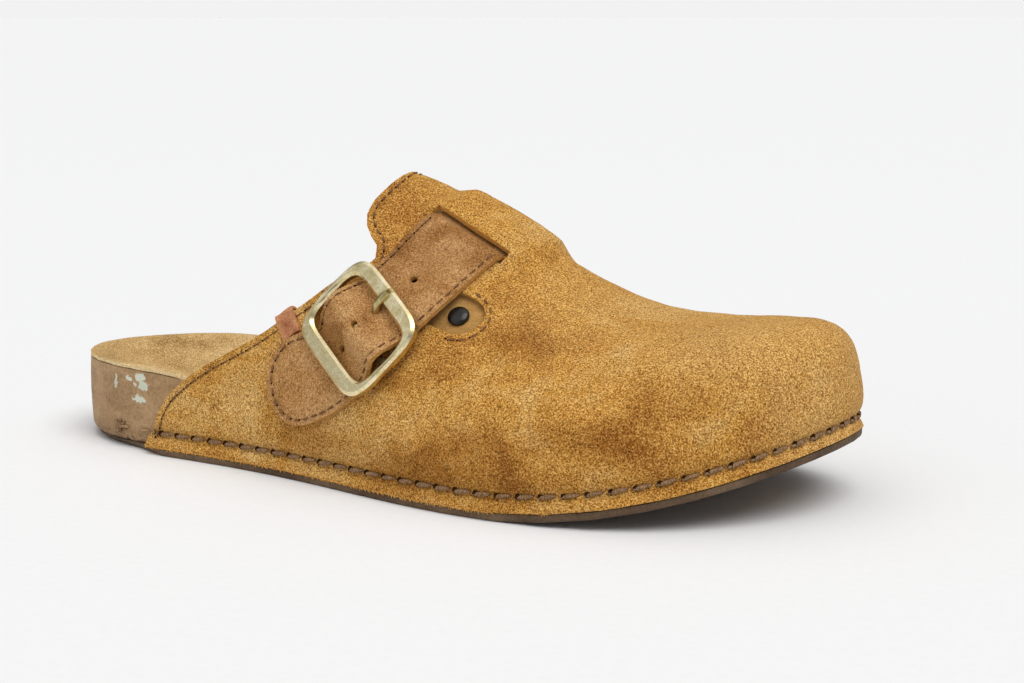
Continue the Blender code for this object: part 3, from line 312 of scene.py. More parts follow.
OUTER, INNER = plan_sides(FINE_STATIONS)


def spring(x):
    """How far the sole has risen towards the toe."""
    reach = np.clip((np.asarray(x) / LENGTH - SPRING_START) / (1 - SPRING_START), 0.0, 1.1)
    return TOE_SPRING * reach ** 2


def ridge_point(x):
    """The last's highest line: its x and y for a station, held back from the toe."""
    past = (RIDGE_END - np.asarray(x) / LENGTH) / RIDGE_SOFTNESS
    along = RIDGE_END - RIDGE_SOFTNESS * np.logaddexp(0.0, past)
    return along * LENGTH, smooth(SECTIONS, "lean", along) * HALF_BREADTH


def last_points(x, foot, rise):
    """Points of the last above plan points foot of station x; rise is 0 at the sole, 1 at the ridge."""
    along = x / LENGTH
    ridge_x, ridge_y = ridge_point(x)
    turn = np.clip((rise - WALL_SHARE) / (1 - WALL_SHARE), 0.0, 1.0) * math.pi / 2
    out = np.clip(np.cos(turn), 0.0, 1.0) ** (2 / smooth(SECTIONS, "square_out", along))
    up = np.sin(turn) ** (2 / smooth(SECTIONS, "square_up", along))
    px = ridge_x + out * (foot[..., 0] - ridge_x)
    py = ridge_y + out * (foot[..., 1] - ridge_y)
    low = SOLE_THICKNESS + GAP + spring(foot[..., 0])
    wall = smooth(SECTIONS, "wall", along) * INSTEP_HEIGHT
    top = smooth(SECTIONS, "ridge", px / LENGTH) * INSTEP_HEIGHT
    pz = low + wall * np.minimum(rise / WALL_SHARE, 1.0) + (top - low - wall) * up
    return np.stack([px, py, pz], axis=-1)


def last_tree():
    """A search tree over the smooth outside of the last, in the frame's own place."""
    rises = np.linspace(0.0, 1.0, LAST_RISES)
    halves = []
    for place, outward in (OUTER, INNER):
        chosen = np.nonzero(place[:, 0] > UPPER_START * LENGTH)[0][:-1:2]
        foot = (place + outward * (GAP + UPPER_WALL))[chosen, None, :]
        x = np.broadcast_to(place[chosen, 0][:, None], (len(chosen), len(rises)))
        rise = np.broadcast_to(rises[None, :], x.shape)
        halves.append(last_points(x, np.broadcast_to(foot, x.shape + (2,)), rise))
    rows = min(len(half) for half in halves)
    grid = np.concatenate([halves[0][-rows:], halves[1][-rows:, -2::-1]], axis=1)
    grid[..., 0] -= HEEL_REST
    columns = grid.shape[1]
    faces = [
        (r * columns + c, r * columns + c + 1, (r + 1) * columns + c + 1, (r + 1) * columns + c)
        for r in range(rows - 1) for c in range(columns - 1)
    ]
    return BVHTree.FromPolygons([tuple(p) for p in grid.reshape(-1, 3)], faces)


LAST = last_tree()


def on_last(point):
    """Nearest place on the last and the outward normal there."""
    place, normal, _, _ = LAST.find_nearest(Vector(point))
    centre = Vector((min(place.x, 0.2), 0.006, 0.015))
    return place, (normal if normal.dot(place - centre) > 0 else -normal)


def strap_line():
    """The strap's middle line on the last, from its inner end over the ridge to its free end."""
    pieces = []
    for (place, outward), start in ((INNER, STRAP_START_RISE), (OUTER, STRAP_ROUTE[0].rise)):
        rise = np.linspace(start, 1.0, STRAP_LINE_POINTS)
        x = smooth(STRAP_ROUTE, "along", rise, by="rise") * LENGTH
        foot = place + outward * (GAP + UPPER_WALL)
        foot = np.stack([np.interp(x, place[:, 0], foot[:, k]) for k in (0, 1)], axis=-1)
        pieces.append(last_points(x, foot, rise) - np.array([HEEL_REST, 0.0, 0.0]))
    line = np.concatenate([pieces[0], pieces[1][-2::-1]])
    reach = reach_along(line)
    return line, reach - reach[len(pieces[0]) - 1]


STRAP_LINE, STRAP_REACH = strap_line()


def strap_frame(reach):
    """Place on the last, across and outward at a distance along the strap from the ridge."""
    def at(value):
        return Vector([np.interp(value, STRAP_REACH, STRAP_LINE[:, k]) for k in range(3)])
    step = 2.0 * MM
    place, normal = on_last(at(reach))
    along = at(reach + step) - at(reach - step)
    along = (along - normal * along.dot(normal)).normalized()
    return place, normal.cross(along).normalized(), normal


# Materials

# The real nap's fibres are too fine to show, so they are drawn as coarse as they need to show
NAP = 0.5 * MM
TUFT = 1.2 * MM
BRUSH_STROKE = 7 * MM

# Kinds of node and their settings
NOISE = "ShaderNodeTexNoise"
RAMP = "ShaderNodeValToRGB"
MIX = "ShaderNodeMix"
RANGE = "ShaderNodeMapRange"
MATH = "ShaderNodeMath"
VECTOR_MATH = "ShaderNodeVectorMath"
MAPPING = "ShaderNodeMapping"
SPLIT = "ShaderNodeSeparateXYZ"
MIXED = {"data_type": "RGBA", "blend_type": "MIX"}
DARKENED = {"data_type": "RGBA", "blend_type": "MULTIPLY"}
EASED = {"interpolation_type": "SMOOTHSTEP"}
TIMES = {"operation": "MULTIPLY"}
TIMES_PLUS = {"operation": "MULTIPLY_ADD"}

# Chips in the coating of the heel's outer wall: middle and half sizes in mm, seen from the side
Mark = namedtuple("Mark", "x z half_x half_z colour")
CHIPS = [
    Mark(-7.5, 22.6, 0.8, 2.3, "#BFC2AE"), Mark(-0.5, 24.3, 1.4, 1.1, "#CBCDBA"),
    Mark(4.2, 25.2, 2.4, 1.5, "#CBCDBA"), Mark(6.0, 22.6, 2.2, 1.7, "#C4C7B4"),
    Mark(4.0, 17.6, 2.6, 1.5, "#CBCDBA"), Mark(2.4, 22.6, 0.9, 0.7, "#C4C7B4"),
    Mark(-3.0, 3.2, 0.8, 0.7, "#1E140C"),
]

# Darker patches, placed in the same way: painted shade, most of all the wide band low along the sides,
# and in part the nap's own darker mottling; the colour multiplies the suede's own
PAINTED_SHADES = [
    Mark(118, 13, 92, 14, "#C6B296"), Mark(84, 16, 20, 9, "#CDBAA2"), Mark(128, 13, 24, 7, "#D6C6B0"),
    Mark(66, 34, 8, 12, "#D6C6B0"), Mark(142, 22, 13, 6, "#CDBAA2"), Mark(168, 25, 12, 6, "#CEBCA4"),
    Mark(188, 25, 11, 8, "#D2C1AA"), Mark(148, 48, 12, 6, "#D6C6B0"), Mark(197, 38, 7, 6, "#DED0BC"),
    Mark(212, 36, 8, 11, "#E6DCCE"), Mark(112, 36, 13, 5, "#D6C6B0"),
]
# Painted shade on the strap, placed in the same way, darkest over its upper part
STRAP_PAINTED_SHADES = [
    Mark(112, 74, 30, 26, "#D2C2B2"), Mark(84, 50, 12, 10, "#E0D4C8"),
]

# Paler patches, painted light on the toe's top and front and high on the vamp, where the light falls; the
# colour takes the place of the suede's own
PAINTED_LIGHTS = [
    Mark(216, 52, 30, 13, "#EFC478"), Mark(237, 32, 10, 22, "#EEC27A"), Mark(172, 62, 26, 12, "#E8B96C"),
]


def linear(code):
    """An sRGB hex code as linear RGBA."""
    channels = [int(code[i:i + 2], 16) / 255 for i in (1, 3, 5)]
    curved = [c / 12.92 if c <= 0.04045 else ((c + 0.055) / 1.055) ** 2.4 for c in channels]
    return (*curved, 1.0)


def give(tree, target, inputs):
    """Fills a node's inputs; each value is a node, a socket, a plain value or a hex code."""
    for key, value in inputs.items():
        if isinstance(value, bpy.types.Node):
            value = next(output for output in value.outputs if output.enabled)
        if isinstance(value, bpy.types.NodeSocket):
            tree.links.new(value, target.inputs[key])
        else:
            target.inputs[key].default_value = linear(value) if isinstance(value, str) else value


def node(tree, kind, settings=None, numbered=None, stops=(), **named):
    """A node with its settings, its inputs by number or name, and a colour ramp's stops."""
    made = tree.nodes.new(kind)
    for key, value in (settings or {}).items():
        setattr(made, key, value)
    give(tree, made, numbered or {})
    give(tree, made, {key.replace("_", " "): value for key, value in named.items()})
    if stops:
        elements = made.color_ramp.elements
        while len(elements) < len(stops):
            elements.new(0.5)
        for element, (place, code) in zip(elements, stops):
            element.position = place
            element.color = linear(code)
    return made


def new_material(name):
    """A material, its tree, its shader and the place on the piece that its patterns follow."""
    made = bpy.data.materials.new(name)
    made.use_nodes = True
    tree = made.node_tree
    return made, tree, tree.nodes["Principled BSDF"], node(tree, "ShaderNodeTexCoord").outputs["Object"]


def raised(tree, shader, layers):
    """Bump from (height, depth in metres) layers, one over the other."""
    below = {}
    for height, depth in layers:
        bump = node(tree, "ShaderNodeBump", Height=height, Distance=depth, Strength=1.0, **below)
        below = {"Normal": bump}
    give(tree, shader, below)


def mark_reach(tree, place, mark, ragged, waver):
    """How far a place lies from a mark's middle seen from the side, as a share of its half sizes.

    A ragged pattern times waver is added, so that the mark's rim isn't a plain ellipse.
    """
    away = node(tree, VECTOR_MATH, {"operation": "SUBTRACT"},
                {0: place, 1: (mark.x * MM, 0.0, mark.z * MM)})
    share = node(tree, VECTOR_MATH, TIMES,
                 {0: away, 1: (1 / (mark.half_x * MM), 0.0, 1 / (mark.half_z * MM))})
    reach = node(tree, VECTOR_MATH, {"operation": "LENGTH"}, {0: share})
    return node(tree, MATH, TIMES_PLUS, {0: ragged, 1: waver, 2: reach})


def suede(name, dark, middle, light, patch=37 * MM, depth=0.2 * MM, fleck=0.8, painted_shades=(), painted_lights=()):
    """Suede split leather: brushed nap in cloudy darker and lighter patches, no shine of its own; painted
    shade and painted light in the given patches.
    """
    made, tree, shader, place = new_material(name)
    cloud = node(tree, NOISE, Vector=place, Scale=1 / patch, Detail=4.0,
                 Roughness=0.55, Distortion=0.6)
    brushed = node(tree, MAPPING, Vector=place, Scale=(0.55, 0.8, 1.3))
    stroke = node(tree, NOISE, Vector=brushed, Scale=1 / BRUSH_STROKE, Detail=4.0,
                  Roughness=0.55, Distortion=0.8)
    grain = node(tree, NOISE, Vector=place, Scale=1 / NAP, Detail=4.0, Roughness=0.75)
    tuft = node(tree, NOISE, Vector=place, Scale=1 / TUFT, Detail=3.0, Roughness=0.7)
    streaks = node(tree, MATH, TIMES, {0: stroke, 1: 0.3})
    tone = node(tree, MATH, TIMES_PLUS, {0: cloud, 1: 0.7, 2: streaks})
    colour = node(tree, RAMP, stops=[(0.35, dark), (0.5, middle), (0.66, light)], Fac=tone)
    ragged = 2.4
    # Painted light: the given patches turn the suede paler where light falls.
    for mark in painted_lights:
        reach = mark_reach(tree, place, mark, cloud, ragged)
        share = node(tree, RANGE, EASED, Value=reach, From_Min=2.7, From_Max=1.0, To_Max=0.8)
        colour = node(tree, MIX, MIXED, {0: share, 6: colour, 7: mark.colour})
    between_fibres = node(tree, RAMP, Fac=grain, stops=[
        (0.38, "#7C5C3C"), (0.49, "#DACBB8"), (0.58, "#FFFFFF")])
    colour = node(tree, MIX, DARKENED, {0: fleck, 6: colour, 7: between_fibres})
    between_tufts = node(tree, RAMP, Fac=tuft, stops=[(0.36, "#A9A9A9"), (0.62, "#FFFFFF")])
    colour = node(tree, MIX, DARKENED, {0: 0.45 * fleck, 6: colour, 7: between_tufts})
    tips = node(tree, RANGE, EASED, Value=grain, From_Min=0.54, From_Max=0.64, To_Max=0.6)
    colour = node(tree, MIX, MIXED, {0: tips, 6: colour, 7: light})
    # Painted shade: the given patches darken the suede, at 0.75 of their strength on the outer side and
    # 0.25 on the inner.
    side = node(tree, SPLIT, Vector=place).outputs["Y"]
    painted_shade_by_side = node(tree, RANGE, EASED, Value=side, From_Min=10 * MM, From_Max=-10 * MM,
                To_Min=0.25, To_Max=0.75)
    for mark in painted_shades:
        reach = mark_reach(tree, place, mark, cloud, ragged)
        share = node(tree, RANGE, EASED, Value=reach, From_Min=2.5, From_Max=1.0)
        share = node(tree, MATH, TIMES, {0: painted_shade_by_side, 1: share})
        colour = node(tree, MIX, DARKENED, {0: share, 6: colour, 7: mark.colour})
    give(tree, shader, {
        "Base Color": colour, "Roughness": 0.95, "Specular IOR Level": 0.12, "Sheen Weight": 0.08,
        "Sheen Roughness": 0.5, "Sheen Tint": light})
    raised(tree, shader, [(stroke, 0.45 * MM), (tuft, 0.22 * MM), (grain, depth)])
    return made


def leather_edge(name, dark, light):
    """Raw cut edge of leather: pale fibres pressed into fine layers."""
    made, tree, shader, place = new_material(name)
    fibre = node(tree, NOISE, Vector=place, Scale=1 / (0.6 * MM), Detail=4.0, Roughness=0.7)
    colour = node(tree, RAMP, stops=[(0.32, dark), (0.68, light)], Fac=fibre)
    give(tree, shader, {"Base Color": colour, "Roughness": 0.95, "Specular IOR Level": 0.15})
    raised(tree, shader, [(fibre, 0.25 * MM)])
    return made


def footbed_side():
    """Brown coating rolled on cork: matt, streaked along the heel, with pale chips near its top."""
    made, tree, shader, place = new_material("coated_cork")
    rolled = node(tree, MAPPING, Vector=place, Scale=(0.8, 0.8, 1.6))
    streak = node(tree, NOISE, Vector=rolled, Scale=1 / (12 * MM), Detail=6.0,
                  Roughness=0.55, Distortion=0.8)
    speck = node(tree, NOISE, Vector=place, Scale=1 / (1.1 * MM), Detail=4.0, Roughness=0.65)
    cork = node(tree, NOISE, Vector=place, Scale=1 / (2.8 * MM), Detail=2.0, Roughness=0.6)
    colour = node(tree, RAMP, Fac=streak, stops=[
        (0.30, "#9A7A55"), (0.5, "#AE8D66"), (0.7, "#BD9C74")])
    dust = node(tree, RAMP, Fac=speck, stops=[(0.34, "#A9A093"), (0.62, "#FFFFFF")])
    colour = node(tree, MIX, DARKENED, {0: 0.5, 6: colour, 7: dust})
    split = node(tree, SPLIT, Vector=place)
    low = node(tree, RANGE, EASED, Value=split.outputs["Z"], From_Min=9 * MM,
               From_Max=3 * MM)
    patchy = node(tree, RANGE, EASED, Value=speck, From_Min=0.45, From_Max=0.6)
    scuffed = node(tree, MATH, TIMES, {0: low, 1: patchy})
    colour = node(tree, MIX, MIXED, {0: scuffed, 6: colour, 7: "#6B5038"})
    outer = node(tree, RANGE, EASED, Value=split.outputs["Y"], From_Min=-8 * MM,
                 From_Max=-12 * MM)
    ragged = node(tree, NOISE, Vector=place, Scale=1 / (1.5 * MM), Detail=3.0, Roughness=0.6)
    for mark in CHIPS:
        reach = mark_reach(tree, place, mark, ragged, 3.2)
        inside = node(tree, RANGE, EASED, Value=reach, From_Min=2.62, From_Max=2.5)
        inside = node(tree, MATH, TIMES, {0: inside, 1: outer})
        colour = node(tree, MIX, MIXED, {0: inside, 6: colour, 7: mark.colour})
    give(tree, shader, {"Base Color": colour, "Roughness": 0.72, "Specular IOR Level": 0.3})
    raised(tree, shader, [(streak, 0.25 * MM), (cork, 0.16 * MM), (speck, 0.12 * MM)])
    return made


def sole_rubber():
    """Moulded crepe-like rubber: dark, matt, dusty, with fine pores and a ribbed tread underneath."""
    made, tree, shader, place = new_material("sole_rubber")
    pore = node(tree, NOISE, Vector=place, Scale=1 / (0.9 * MM), Detail=4.0, Roughness=0.65)
    dust = node(tree, NOISE, Vector=place, Scale=1 / (16 * MM), Detail=4.0, Roughness=0.55)
    colour = node(tree, RAMP, stops=[(0.34, "#5A4736"), (0.66, "#7C6650")], Fac=dust)
    shade = node(tree, RAMP, stops=[(0.35, "#9A9A9A"), (0.6, "#FFFFFF")], Fac=pore)
    colour = node(tree, MIX, DARKENED, {0: 0.5, 6: colour, 7: shade})
    rib = node(tree, "ShaderNodeTexWave", {"wave_type": "BANDS", "bands_direction": "X"}, Vector=place,
               Scale=1 / (9.4 * MM), Distortion=0.0).outputs["Fac"]
    height = node(tree, SPLIT, Vector=place).outputs["Z"]
    under = node(tree, RANGE, EASED, Value=height, From_Min=0.3 * MM, From_Max=0.05 * MM)
    tread = node(tree, MATH, TIMES, {0: rib, 1: under})
    give(tree, shader, {"Base Color": colour, "Roughness": 0.85, "Specular IOR Level": 0.25})
    raised(tree, shader, [(tread, 0.8 * MM), (pore, 0.2 * MM)])
    return made


def aged_brass(name, dark, middle, light, rough):
    """Antique brass plating: satin, tarnished in cloudy spots, rubbed bright with fine scratches."""
    made, tree, shader, place = new_material(name)
    cloud = node(tree, NOISE, Vector=place, Scale=1 / (4.5 * MM), Detail=5.0,
                 Roughness=0.65, Distortion=0.6)
    fine = node(tree, NOISE, Vector=place, Scale=1 / (0.8 * MM), Detail=3.0, Roughness=0.6)
    rubbed = node(tree, MAPPING, Vector=place, Scale=(0.4, 1.0, 4.0))
    scratch = node(tree, NOISE, Vector=rubbed, Scale=1 / (1.2 * MM), Detail=5.0, Roughness=0.7)
    specks = node(tree, MATH, TIMES, {0: fine, 1: 0.3})
    tarnish = node(tree, MATH, TIMES_PLUS, {0: cloud, 1: 0.7, 2: specks})
    colour = node(tree, RAMP, stops=[(0.28, dark), (0.44, middle), (0.62, light)], Fac=tarnish)
    satin = node(tree, RANGE, EASED, Value=tarnish, From_Min=0.35, From_Max=0.65,
                 To_Min=rough + 0.12, To_Max=rough - 0.04)
    give(tree, shader, {"Base Color": colour, "Metallic": 1.0, "Roughness": satin})
    raised(tree, shader, [(cloud, 0.04 * MM), (scratch, 0.02 * MM)])
    return made


def lacquered_steel():
    """Black lacquered steel rivet: glossy dome with faint orange peel."""
    made, tree, shader, place = new_material("lacquered_steel")
    peel = node(tree, NOISE, Vector=place, Scale=1 / (1.4 * MM), Detail=2.0, Roughness=0.55)
    colour = node(tree, RAMP, stops=[(0.3, "#0B0A08"), (0.7, "#1D1A15")], Fac=peel)
    give(tree, shader, {"Base Color": colour, "Roughness": 0.24, "Specular IOR Level": 0.35})
    raised(tree, shader, [(peel, 0.02 * MM)])
    return made


def waxed_thread(name, dark, light):
    """Waxed twisted thread: matt, with darker lines between its plies."""
    made, tree, shader, place = new_material(name)
    twisted = node(tree, MAPPING, Vector=place, Scale=(1.6, 1.0, 0.6))
    ply = node(tree, NOISE, Vector=twisted, Scale=1 / (0.5 * MM), Detail=3.0, Roughness=0.6)
    colour = node(tree, RAMP, stops=[(0.35, dark), (0.62, light)], Fac=ply)
    give(tree, shader, {"Base Color": colour, "Roughness": 0.7, "Specular IOR Level": 0.3})
    raised(tree, shader, [(ply, 0.15 * MM)])
    return made


def needle_hole():
    """The shade inside a needle hole: dark, no gloss."""
    made, tree, shader, place = new_material("needle_hole")
    fibre = node(tree, NOISE, Vector=place, Scale=1 / (0.5 * MM), Detail=2.0, Roughness=0.55)
    colour = node(tree, RAMP, stops=[(0.3, "#1E130A"), (0.7, "#3A2413")], Fac=fibre)
    give(tree, shader, {"Base Color": colour, "Roughness": 1.0, "Specular IOR Level": 0.0})
    return made


SUEDE = suede("suede", "#BC8036", "#E4AE56", "#F6CE86", fleck=1.0, painted_shades=PAINTED_SHADES, painted_lights=PAINTED_LIGHTS)
SUEDE_EDGE = leather_edge("suede_cut_edge", "#B07A30", "#E2B062")
LINING = suede("lining_split", "#97703F", "#B48B52", "#C9A268", depth=0.08 * MM, fleck=0.3)
STRAP_SUEDE = suede(
    "strap_oiled_suede", "#B4844C", "#CC9C64", "#DCB07A", patch=14 * MM, painted_shades=STRAP_PAINTED_SHADES)
STRAP_EDGE = leather_edge("strap_cut_edge", "#9E6E34", "#DCA862")
CHAPE_SUEDE = suede("chape_oiled_suede", "#6B3F1C", "#87572B", "#9E6C3A", patch=12 * MM)
# Facing: its own tan-brown leather, made darker as painted shade for the shade inside the notch.
FACING = suede("facing_leather", "#94703C", "#B68C50", "#C89E62", depth=0.05 * MM, fleck=0.25)
TAG = suede("tag_suede", "#A06444", "#C68A62", "#DCA57E", patch=6 * MM, fleck=0.4)
INSOLE = suede("insole_suede", "#B4935A", "#DAB87E", "#EECF9C", patch=30 * MM, fleck=0.65)
INSOLE_EDGE = leather_edge("insole_cut_edge", "#BE9C66", "#F2DCAE")
THICK_THREAD = waxed_thread("waxed_sole_thread", "#523A24", "#9C7A56")
HEEL_THREAD = waxed_thread("waxed_heel_thread", "#6E5238", "#B8946C")
FINE_THREAD = waxed_thread("fine_brown_thread", "#4E331C", "#94683E")
LINT = waxed_thread("cotton_lint", "#D8D2C4", "#F0ECE2")
HOLE = needle_hole()


# Refining the frame's solids


def new_object(name, data):
    made = bpy.data.objects.new(name, data)
    bpy.context.scene.collection.objects.link(made)
    return made


def welded(cad_node):
    """A CAD node's mesh as plain triangles, with its loose triangles joined at their corners."""
    work = bmesh.new()
    work.from_mesh(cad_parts[cad_node].data)
    bmesh.ops.remove_doubles(work, verts=work.verts, dist=CAD_JOIN)
    bmesh.ops.dissolve_degenerate(work, edges=work.edges, dist=CAD_JOIN)
    bmesh.ops.triangulate(work, faces=work.faces)
    work.verts.index_update()
    points = [v.co.copy() for v in work.verts]
    faces = [tuple(v.index for v in face.verts) for face in work.faces]
    work.free()
    mesh = bpy.data.meshes.new("welded")
    mesh.from_pydata(points, [], faces)
    return mesh


def corner_normals(mesh, sharp):
    """The normals at each triangle's corners, smooth except over edges past the sharp angle."""
    mesh.shade_smooth()
    mesh.set_sharp_from_angle(angle=math.radians(sharp))
    normals = np.zeros(len(mesh.loops) * 3)
    mesh.corner_normals.foreach_get("vector", normals)
    return normals.reshape(-1, 3, 3)


def small_triangles(steps):
    """Barycentric weights of a split triangle's points, and its small triangles."""
    index = {}
    weights = []
    for i in range(steps + 1):
        for j in range(steps + 1 - i):
            index[i, j] = len(weights)
            weights.append(((steps - i - j) / steps, i / steps, j / steps))
    faces = []
    for i in range(steps):
        for j in range(steps - i):
            faces.append((index[i, j], index[i + 1, j], index[i, j + 1]))
            if i + j < steps - 1:
                faces.append((index[i + 1, j], index[i + 1, j + 1], index[i, j + 1]))
    return np.array(weights), np.array(faces)


def refined(name, cad_node, steps, sharp, surfaces, pick=None, shape=None, bulge=BULGE):
    """A finer copy of a CAD solid: each triangle is split and bulged to the curve its normals give."""
    coarse = welded(cad_node)
    points = np.zeros(len(coarse.vertices) * 3)
    coarse.vertices.foreach_get("co", points)
    points = points.reshape(-1, 3)
    faces = np.zeros(len(coarse.loops), int)
    coarse.loops.foreach_get("vertex_index", faces)
    faces = faces.reshape(-1, 3)
    normals = corner_normals(coarse, sharp)
    corners = points[faces]
    weights, small = small_triangles(steps)
    flat = np.einsum("mk,tkc->tmc", weights, corners)
    away = flat[:, :, None, :] - corners[:, None, :, :]
    over = np.einsum("tmkc,tkc->tmk", away, normals)
    onto = flat[:, :, None, :] - over[..., None] * normals[:, None, :, :]
    curved = (1 - bulge) * flat + bulge * np.einsum("mk,tmkc->tmc", weights, onto)
    count = len(weights)
    fine = (small[None] + (np.arange(len(faces)) * count)[:, None, None]).reshape(-1, 3)
    mesh = bpy.data.meshes.new(name)
    mesh.from_pydata(flat.reshape(-1, 3), [], fine.tolist())
    kind = np.zeros(len(faces), int)
    if pick is not None:
        flat_normals = np.cross(corners[:, 1] - corners[:, 0], corners[:, 2] - corners[:, 0])
        flat_normals /= np.maximum(np.linalg.norm(flat_normals, axis=1), 1e-12)[:, None]
        kind = np.array([pick(c, n) for c, n in zip(corners.mean(axis=1), flat_normals)], int)
    mesh.polygons.foreach_set("material_index", np.repeat(kind, len(small)))
    store = mesh.attributes.new("curved", "FLOAT_VECTOR", "POINT")
    store.data.foreach_set("vector", curved.reshape(-1))
    work = bmesh.new()
    work.from_mesh(mesh)
    bmesh.ops.remove_doubles(work, verts=work.verts, dist=FINE_JOIN)
    work.to_mesh(mesh)
    work.free()
    place = np.zeros(len(mesh.vertices) * 3)
    mesh.attributes["curved"].data.foreach_get("vector", place)
    place = place.reshape(-1, 3)
    if shape is not None:
        place = shape(place)
    mesh.vertices.foreach_set("co", place.reshape(-1))
    mesh.attributes.remove(mesh.attributes["curved"])
    mesh.update()
    mesh.shade_smooth()
    mesh.set_sharp_from_angle(angle=math.radians(sharp))
    for surface in surfaces:
        mesh.materials.append(surface)
    bpy.data.meshes.remove(coarse)
    return new_object(name, mesh)


def place_piece(piece, slot, *nodes):
    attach(piece, "root")
    if nodes:
        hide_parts(*nodes)


def tree_of(cad_node):
    """A search tree over a CAD node's surface."""
    mesh = welded(cad_node)
    points = [v.co.copy() for v in mesh.vertices]
    faces = [tuple(p.vertices) for p in mesh.polygons]
    bpy.data.meshes.remove(mesh)
    return BVHTree.FromPolygons(points, faces)


UPPER_TREE = tree_of("upper")
STRAP_TREE = tree_of("strap")
FOOTBED_TREE = tree_of("footbed")


# Sewing lines, each a list of places on the surface


def cast(tree, origin, way):
    """Where a ray meets a surface, or None."""
    return tree.ray_cast(Vector(origin), Vector(way), RAY_REACH)[0]


def cast_inward(tree, x, y, out, height):
    """Where a level ray that comes in at an outline's point meets a surface, or None."""
    start = Vector((x - HEEL_REST, y, height)) + out * RAY_START
    return cast(tree, start, -out)


def foot_line(rise):
    """Round the upper's foot at one height over the sole, from the outer heel corner to the inner one."""
    points = []
    for side, (place, outward) in (("outer", OUTER), ("inner", INNER)):
        row = []
        for (x, y), (nx, ny) in zip(place, outward):
            found = cast_inward(UPPER_TREE, x, y, Vector((nx, ny, 0.0)), float(spring(x)) + rise)
            if found and x >= SOLE_LINE_BACK:
                row.append(found)
        points += row if side == "outer" else row[::-1][1:]
    return points


def heel_line():
    """The thread's start on the heel's side, on the outer side only."""
    place, outward = OUTER
    points = []
    for (x, y), (nx, ny) in zip(place, outward):
        out = Vector((nx, ny, 0.0))
        found = cast_inward(FOOTBED_TREE, x, y, out, HEEL_LINE_HEIGHT)
        if found and HEEL_LINE_BACK < x < HEEL_LINE_FRONT:
            points.append(found + out * HEEL_LINE_LIFT)
    return points


def collar_line(margin):
    """Beside the edge of the foot opening: up the outer side, over the tab, down the inner side."""
    knots = np.stack([
        column(COLLAR, "along") * LENGTH - HEEL_REST, column(COLLAR, "up") * INSTEP_HEIGHT], axis=1)
    reach = reach_along(knots)
    edge = curve_through(knots, reach, np.linspace(COLLAR_START, reach[-1], COLLAR_POINTS))
    heading = np.gradient(edge, axis=0)
    heading /= np.linalg.norm(heading, axis=1)[:, None]
    inset = edge + margin * np.stack([heading[:, 1], -heading[:, 0]], axis=1)
    sides = []
    for y in (-1, 1):
        row = [cast(UPPER_TREE, (px, y * CLEAR_SIDE, pz), (0, -y, 0)) for px, pz in inset]
        row = [found for found in row if found and found.y * y > -ACROSS_MIDDLE]
        sides.append([p for p in row if p.z > COLLAR_FOOT])
    low, high = sides[0][-1], sides[1][-1]
    over = []
    for share in np.linspace(0.0, 1.0, TAB_POINTS)[1:-1]:
        start = low.lerp(high, share)
        start.z = CLEAR_TOP
        found = cast(UPPER_TREE, start, (0, 0, -1))
        if found:
            over.append(found)
    return sides[0] + over + sides[1][::-1]


def notch_place(inner):
    """Middle, long axis and short axis of a notch on the last."""
    rises = np.linspace(0.0, 1.0, NOTCH_RISES)
    x = NOTCH_ALONG * LENGTH
    place, outward = INNER if inner else OUTER
    foot_y = float(np.interp(x, place[:, 0], (place + outward * (GAP + UPPER_WALL))[:, 1]))
    foot = np.broadcast_to(np.array([x, foot_y]), (NOTCH_RISES, 2))
    line = last_points(np.full(NOTCH_RISES, x), foot, rises)
    middle = Vector(line[int(np.argmin(np.abs(line[:, 2] - NOTCH_UP * INSTEP_HEIGHT)))])
    middle.x -= HEEL_REST
    middle, outward = on_last(middle)
    front = Vector((1.0, 0.0, -NOTCH_DIP))
    front = (front - outward * front.dot(outward)).normalized()
    return middle, front, outward.cross(front).normalized()


def notch_line(inner):
    """Round the notch, left out where the strap covers it."""
    middle, front, short = notch_place(inner)
    half = NOTCH_HEIGHT / 2 + NOTCH_MARGIN
    straight = (NOTCH_LENGTH - NOTCH_HEIGHT) / 2
    outline = []
    for end in (1, -1):
        for turn in np.linspace(-math.pi / 2, math.pi / 2, NOTCH_POINTS):
            outline.append((end * (straight + half * math.cos(turn)), end * half * math.sin(turn)))
    outline.append(outline[0])
    dense = []
    for (a, b), (c, d) in zip(outline, outline[1:]):
        for share in np.linspace(0.0, 1.0, 8, endpoint=False):
            dense.append((a + (c - a) * share, b + (d - b) * share))
    lines = [[]]
    for p, q in dense:
        spot, up = on_last(middle + front * p + short * q)
        found = cast(UPPER_TREE, spot + up * NOTCH_RAY_LIFT, -up)
        clear = STRAP_TREE.find_nearest(spot)[3] > STRAP_CLEARANCE
        if found and clear and (found - spot).length < SURFACE_SLIP:
            lines[-1].append(found)
        elif lines[-1]:
            lines.append([])
    return [line for line in lines if len(line) > SHORTEST_RUN]


